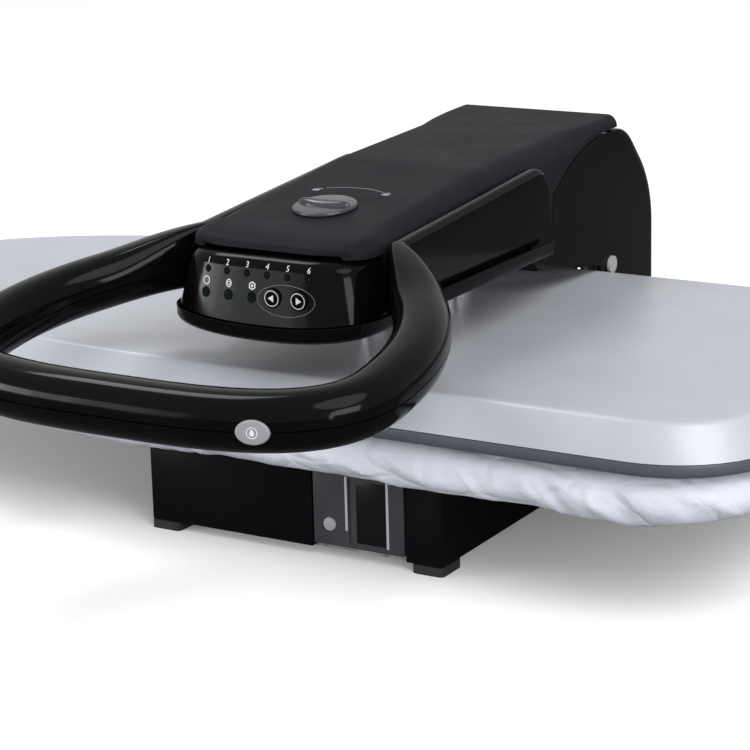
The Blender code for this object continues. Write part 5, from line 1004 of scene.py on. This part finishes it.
# Lock knob
# A round knob of clear grey plastic on the lid, with a lens-shaped wing across it to turn it by.
# A thin printed arc behind it runs from an open padlock to a closed one.
KNOB_SLOPE = math.atan2(FRONT_RISE, ARM_BEND - ARM_FRONT)
KNOB_RADIUS, KNOB_LOW, KNOB_HEIGHT, KNOB_EDGE = 0.0170, 0.0006, 0.0022, 0.0012
WING_LOW, WING_HEIGHT, WING_WIDTH, WING_STEPS = 0.0012, 0.0048, 0.0098, 64
WING_SPAN_SHARE, WING_TAPER, WING_POWER = 0.92, 0.30, 1.2
WING_SHARES = ((0.0, 1.0), (0.22, 0.99), (0.42, 0.94), (0.60, 0.85), (0.76, 0.71), (0.88, 0.54), (0.96, 0.34),
               (1.0, 0.12))
CLEAR_GREY = finish("clear_grey_plastic", (0.060, 0.060, 0.071), 0.18, patches=(90, 3), gloss=(0.12, 0.24),
                    wear=(120, 2), specular=0.3, more={"IOR": 1.49, "Transmission Weight": 0.35})

knob = rod(KNOB_RADIUS, (0, 0, KNOB_LOW), (0, 0, KNOB_HEIGHT), 96)
edit(knob, bpy.ops.mesh.bevel, edges=lambda a, b: min(a.z, b.z) > KNOB_HEIGHT - KNOB_EDGE,
     offset=KNOB_EDGE, segments=5)
wing_rows = []
for rise, width in WING_SHARES:
    z = between(WING_LOW, WING_HEIGHT, rise)
    reach = KNOB_RADIUS * (WING_SPAN_SHARE - WING_TAPER * (1 - width))
    row = []
    for k in range(WING_STEPS):
        c, s = math.cos(math.tau * k / WING_STEPS), math.sin(math.tau * k / WING_STEPS)
        row.append((reach * math.copysign(abs(c) ** WING_POWER, c), WING_WIDTH / 2 * width * s, z))
    wing_rows.append(row)
wing = skin(wing_rows, closed=True)
cap(wing)
outward(wing)
carve(knob, wing, "UNION")
edit(knob, bpy.ops.transform.rotate, verts=everywhere, value=-KNOB_SLOPE, orient_axis="X",
     center_override=(0, 0, 0))
edit(knob, bpy.ops.transform.translate, verts=everywhere, value=(0, KNOB_Y, knob_top))
settle(knob, "lock_knob_disc", CLEAR_GREY, "lock_knob", ["lock_knob"])
dress(ZINC_STEEL, "lock_spindle")

ARC_RADIUS, ARC_LINE, ARC_START, ARC_END, OPEN_TURN, SHUT_TURN = 0.036, 0.0006, 120, 64, 128, 58
LID_INK_PROUD = 0.00012
PADLOCK_HALF, PADLOCK_LOW, PADLOCK_TOP, SHACKLE, SHACKLE_OPENING = 0.0021, 0.0028, 0.0004, 0.0014, 0.0012


def on_lid(place):
    """A mark's place on the arm's lid."""
    return Vector((place.x, place.y, lid_height(place.y) + LID_INK_PROUD))


def strip_arc(x, y, radius, start, end, steps=40):
    """A printed arc, drawn flat."""
    edges = (radius + ARC_LINE / 2, radius - ARC_LINE / 2)
    return skin([ring_at(arc(x, y, reach, reach, start, end, steps), 0) for reach in edges])


marks = [strip_arc(0, KNOB_Y, ARC_RADIUS, ARC_START, ARC_END)]
ends = arc(0, KNOB_Y, ARC_RADIUS, ARC_RADIUS, OPEN_TURN, SHUT_TURN, 1)
for (x, y), opening in zip(ends, (SHACKLE_OPENING, 0)):
    lock = crate((x - PADLOCK_HALF, y - PADLOCK_LOW, -NEAR), (x + PADLOCK_HALF, y + PADLOCK_TOP, 0))
    edit(lock, bpy.ops.mesh.delete, faces=lambda centre, normal: normal.z < 0.5, type="ONLY_FACE")
    marks += [lock, strip_arc(x + opening, y + PADLOCK_TOP, SHACKLE, 180, 0, 16)]
LOCK_INK = moulded("lock_ink", (0.27, 0.27, 0.29), 0.55, 900, 0.00002)
printed(marks, "lock_marks", LOCK_INK, on_lid)


# Handle
# Two flat gloss black legs turn on pins in the arm's sides and flare into one wide loop in front of
# the nose. It is moulded as an upper and a lower shell that meet in a fine seam round the loop.
LEG_X, LEG_WIDTH, LEG_BACK, LEG_FRONT = 0.0576, 0.0090, 0.053, -0.106
LEG_LOW, LEG_TOP_BACK, LEG_TOP_FRONT, LEG_ROUND = 0.1332, 0.1787, 0.1664, 0.016
LOOP_X, LOOP_Y, LOOP_DEPTH, LOOP_Z, LOOP_SLOPE = 0.1155, -0.215, 0.0525, 0.1486, 0.2
LOOP_WIDTH, LOOP_HEIGHT, HANDLE_WALL = 0.028, 0.0285, 0.0024
SEAM_DROP, SEAM_GAP, SEAM_START, LEG_SEAM_SHARE = 0.0013, 0.0006, -0.108, 0.985
FLARE_START, FLARE_END, PIVOT_START = 0.006, 0.066, 0.050
LEG_POWER, LOOP_POWER, FLARE_SHARE, FLARE_STEPS, LOOP_STEPS = 5.0, 2.3, 0.6, 28, 36


def leg_top(y):
    """Height of a leg's upper edge."""
    return between(LEG_TOP_FRONT, LEG_TOP_BACK, (y - LEG_FRONT) / (LEG_BACK - LEG_FRONT))


def loop_z(y):
    """Height of the loop's middle."""
    return LOOP_Z + LOOP_SLOPE * (y - LEG_FRONT)


leg_end = LEG_BACK - LEG_ROUND
legs = [(y, leg_top(y) - LEG_ROUND + rise) for y, rise in arc(leg_end, 0, LEG_ROUND, LEG_ROUND, 0, 90, 10)]
for k in range(1, 13):
    y = between(leg_end, LEG_FRONT, k / 12)
    legs.append((y, leg_top(y)))
stations = [(Vector((LEG_X, y, (top + LEG_LOW) / 2)), 0.0, LEG_WIDTH, top - LEG_LOW) for y, top in legs]
bend = [Vector(place) for place in ((LEG_X, LEG_FRONT, 0), (LEG_X, LEG_FRONT - FLARE_START, 0),
                                    (LOOP_X, LOOP_Y + FLARE_END, 0), (LOOP_X, LOOP_Y, 0))]
middle, height = (LEG_TOP_FRONT + LEG_LOW) / 2, LEG_TOP_FRONT - LEG_LOW
for k in range(1, FLARE_STEPS + 1):
    t = k / FLARE_STEPS
    place = bend[0] * (1 - t) ** 3 + bend[1] * 3 * t * (1 - t) ** 2
    place = place + bend[2] * 3 * t * t * (1 - t) + bend[3] * t ** 3
    grown = eased(t / FLARE_SHARE)
    place.z = between(middle, loop_z(place.y), grown)
    wide = between(LEG_WIDTH, LOOP_WIDTH, grown)
    stations.append((place, grown, wide, between(height, LOOP_HEIGHT, grown)))
for k in range(1, LOOP_STEPS + 1):
    turn = math.radians(90 * k / LOOP_STEPS)
    x = LOOP_X * max(math.cos(turn), 0) ** (2 / 3) if k < LOOP_STEPS else 0.0
    y = LOOP_Y - LOOP_DEPTH * math.sin(turn) ** (2 / 3)
    stations.append((Vector((x, y, loop_z(y))), 1.0, LOOP_WIDTH, LOOP_HEIGHT))
stations += [(Vector((-p.x, p.y, p.z)), g, w, h) for p, g, w, h in reversed(stations[:-1])]


def across_handle(k):
    """The sideways direction at a station."""
    before, after = stations[max(k - 1, 0)][0], stations[min(k + 1, len(stations) - 1)][0]
    return (after - before).cross(Vector((0, 0, 1))).normalized()


def shell_row(k, upper, level, outer=26, inner=16):
    """One shell's section at a station: its outer curve, then its inner curve back."""
    place, grown, width, height = stations[k]
    power = 2 / between(LEG_POWER, LOOP_POWER, grown)
    side = across_handle(k)
    row = []
    for inset, steps in ((0.0, outer), (HANDLE_WALL, inner)):
        share = min(level / (height / 2 - inset), 1)
        seam = math.degrees(math.asin(share ** (1 / power)))
        start, end = (-seam, 180 + seam) if upper else (-seam, seam - 180)
        turns = [math.radians(between(start, end, j / steps)) for j in range(steps + 1)]
        for turn in reversed(turns) if inset else turns:
            c, s = math.cos(turn), math.sin(turn)
            wide = (width / 2 - inset) * math.copysign(abs(c) ** power, c)
            rise = (height / 2 - inset) * math.copysign(abs(s) ** power, s)
            row.append(place + side * wide + Vector((0, 0, rise)))
    return row


def seam_level(k):
    """How far below the middle the upper shell ends: all the way down on the legs."""
    _, grown, _, height = stations[k]
    full = (height / 2 - HANDLE_WALL) * LEG_SEAM_SHARE
    return between(full, SEAM_DROP, grown)


STEAM_X, STEAM_HALF_WIDTH, STEAM_HALF_HEIGHT, STEAM_GAP = 0.0764, 0.0081, 0.0057, 0.0003
STEAM_LENGTH, STEAM_PROUD, STEAM_PAST, STEAM_TURN = 0.0065, 0.0012, 0.006, math.radians(15)
steam_y = LOOP_Y - LOOP_DEPTH * (1 - (STEAM_X / LOOP_X) ** 3) ** (1 / 3)
STEAM_OUT = Vector((math.sin(STEAM_TURN), -math.cos(STEAM_TURN), 0))
STEAM_PLACE = Vector((STEAM_X, steam_y, loop_z(steam_y) - SEAM_DROP)) + STEAM_OUT * LOOP_WIDTH / 2


def steam_plug(gap, back, front):
    """An oval plug across the loop's front wall, between two distances from its face."""
    plug = rod(1, (0, 0, 0), (0, 0, 1), 64)
    plug.scale = (STEAM_HALF_WIDTH + gap, STEAM_HALF_HEIGHT + gap, front - back)
    plug.rotation_euler = (math.pi / 2, 0, STEAM_TURN)
    plug.location = STEAM_PLACE + STEAM_OUT * back
    bpy.ops.object.transform_apply()
    return plug


for node, upper in (("handle_upper", True), ("handle_lower", False)):
    used = [k for k in range(len(stations)) if upper or stations[k][0].y < SEAM_START]
    shell = skin([shell_row(k, upper, seam_level(k) + (0 if upper else SEAM_GAP)) for k in used], closed=True)
    cap(shell)
    outward(shell)
    carve(shell, steam_plug(STEAM_GAP, -STEAM_LENGTH, STEAM_PAST))
    for way in (-1, 1) if upper else ():
        carve(shell, rod(PIVOT_HOLE, (way * PIVOT_START, PIVOT_Y, PIVOT_Z), (way * LEG_X, PIVOT_Y, PIVOT_Z)))
    settle(shell, node + "_shell", GLOSS_BLACK, "handle", [node], 40)
dress(ZINC_STEEL, "handle_pivot_left", "handle_pivot_right")


# Steam key
# A light grey oval press key in the loop's front face, with a printed sign of a drop in a ring. It
# works a small switch inside the loop.
STEAM_GREY = moulded("steam_key_grey", (0.30, 0.305, 0.32), 0.38, 900, 0.00004)
STEAM_EDGE, SIGN_RING, SIGN_LINE = 0.0008, 0.0027, 0.0004
DROP_WIDE, DROP_HIGH, DROP_LOW, DROP_TIP = 0.0011, 0.0012, 0.0003, 0.0007
key = steam_plug(0, STEAM_PROUD - STEAM_LENGTH, STEAM_PROUD)
key_front = STEAM_PLACE + STEAM_OUT * STEAM_PROUD
edit(key, bpy.ops.mesh.bevel, offset=STEAM_EDGE, segments=4,
     edges=lambda *ends: all(abs((p - key_front).dot(STEAM_OUT)) < NEAR for p in ends))
settle(key, "steam_key", STEAM_GREY, "steam_button", ["steam_button"])
ring = flat_ring(STEAM_PLACE.x, STEAM_PLACE.z, SIGN_RING, SIGN_RING, SIGN_LINE, 40)
drop = flat_ring(STEAM_PLACE.x, STEAM_PLACE.z - DROP_LOW, DROP_WIDE, DROP_HIGH, 0, 24)
edit(drop, bpy.ops.transform.translate, verts=lambda place: place.z > STEAM_PLACE.z + DROP_TIP,
     value=(0, 0, DROP_TIP))
sideways = Vector((math.cos(STEAM_TURN), math.sin(STEAM_TURN), 0))


def on_key(place):
    """A mark's place on the steam key's face."""
    past = place - STEAM_PLACE
    return key_front + STEAM_OUT * KEY_INK_PROUD + sideways * past.x + Vector((0, 0, past.z))


KEY_INK = moulded("key_ink", (0.75, 0.76, 0.78), 0.5, 900, 0.00002)
printed([ring, drop], "steam_sign", KEY_INK, on_key, "steam_button")
dress(BASE_BLACK, "steam_switch")
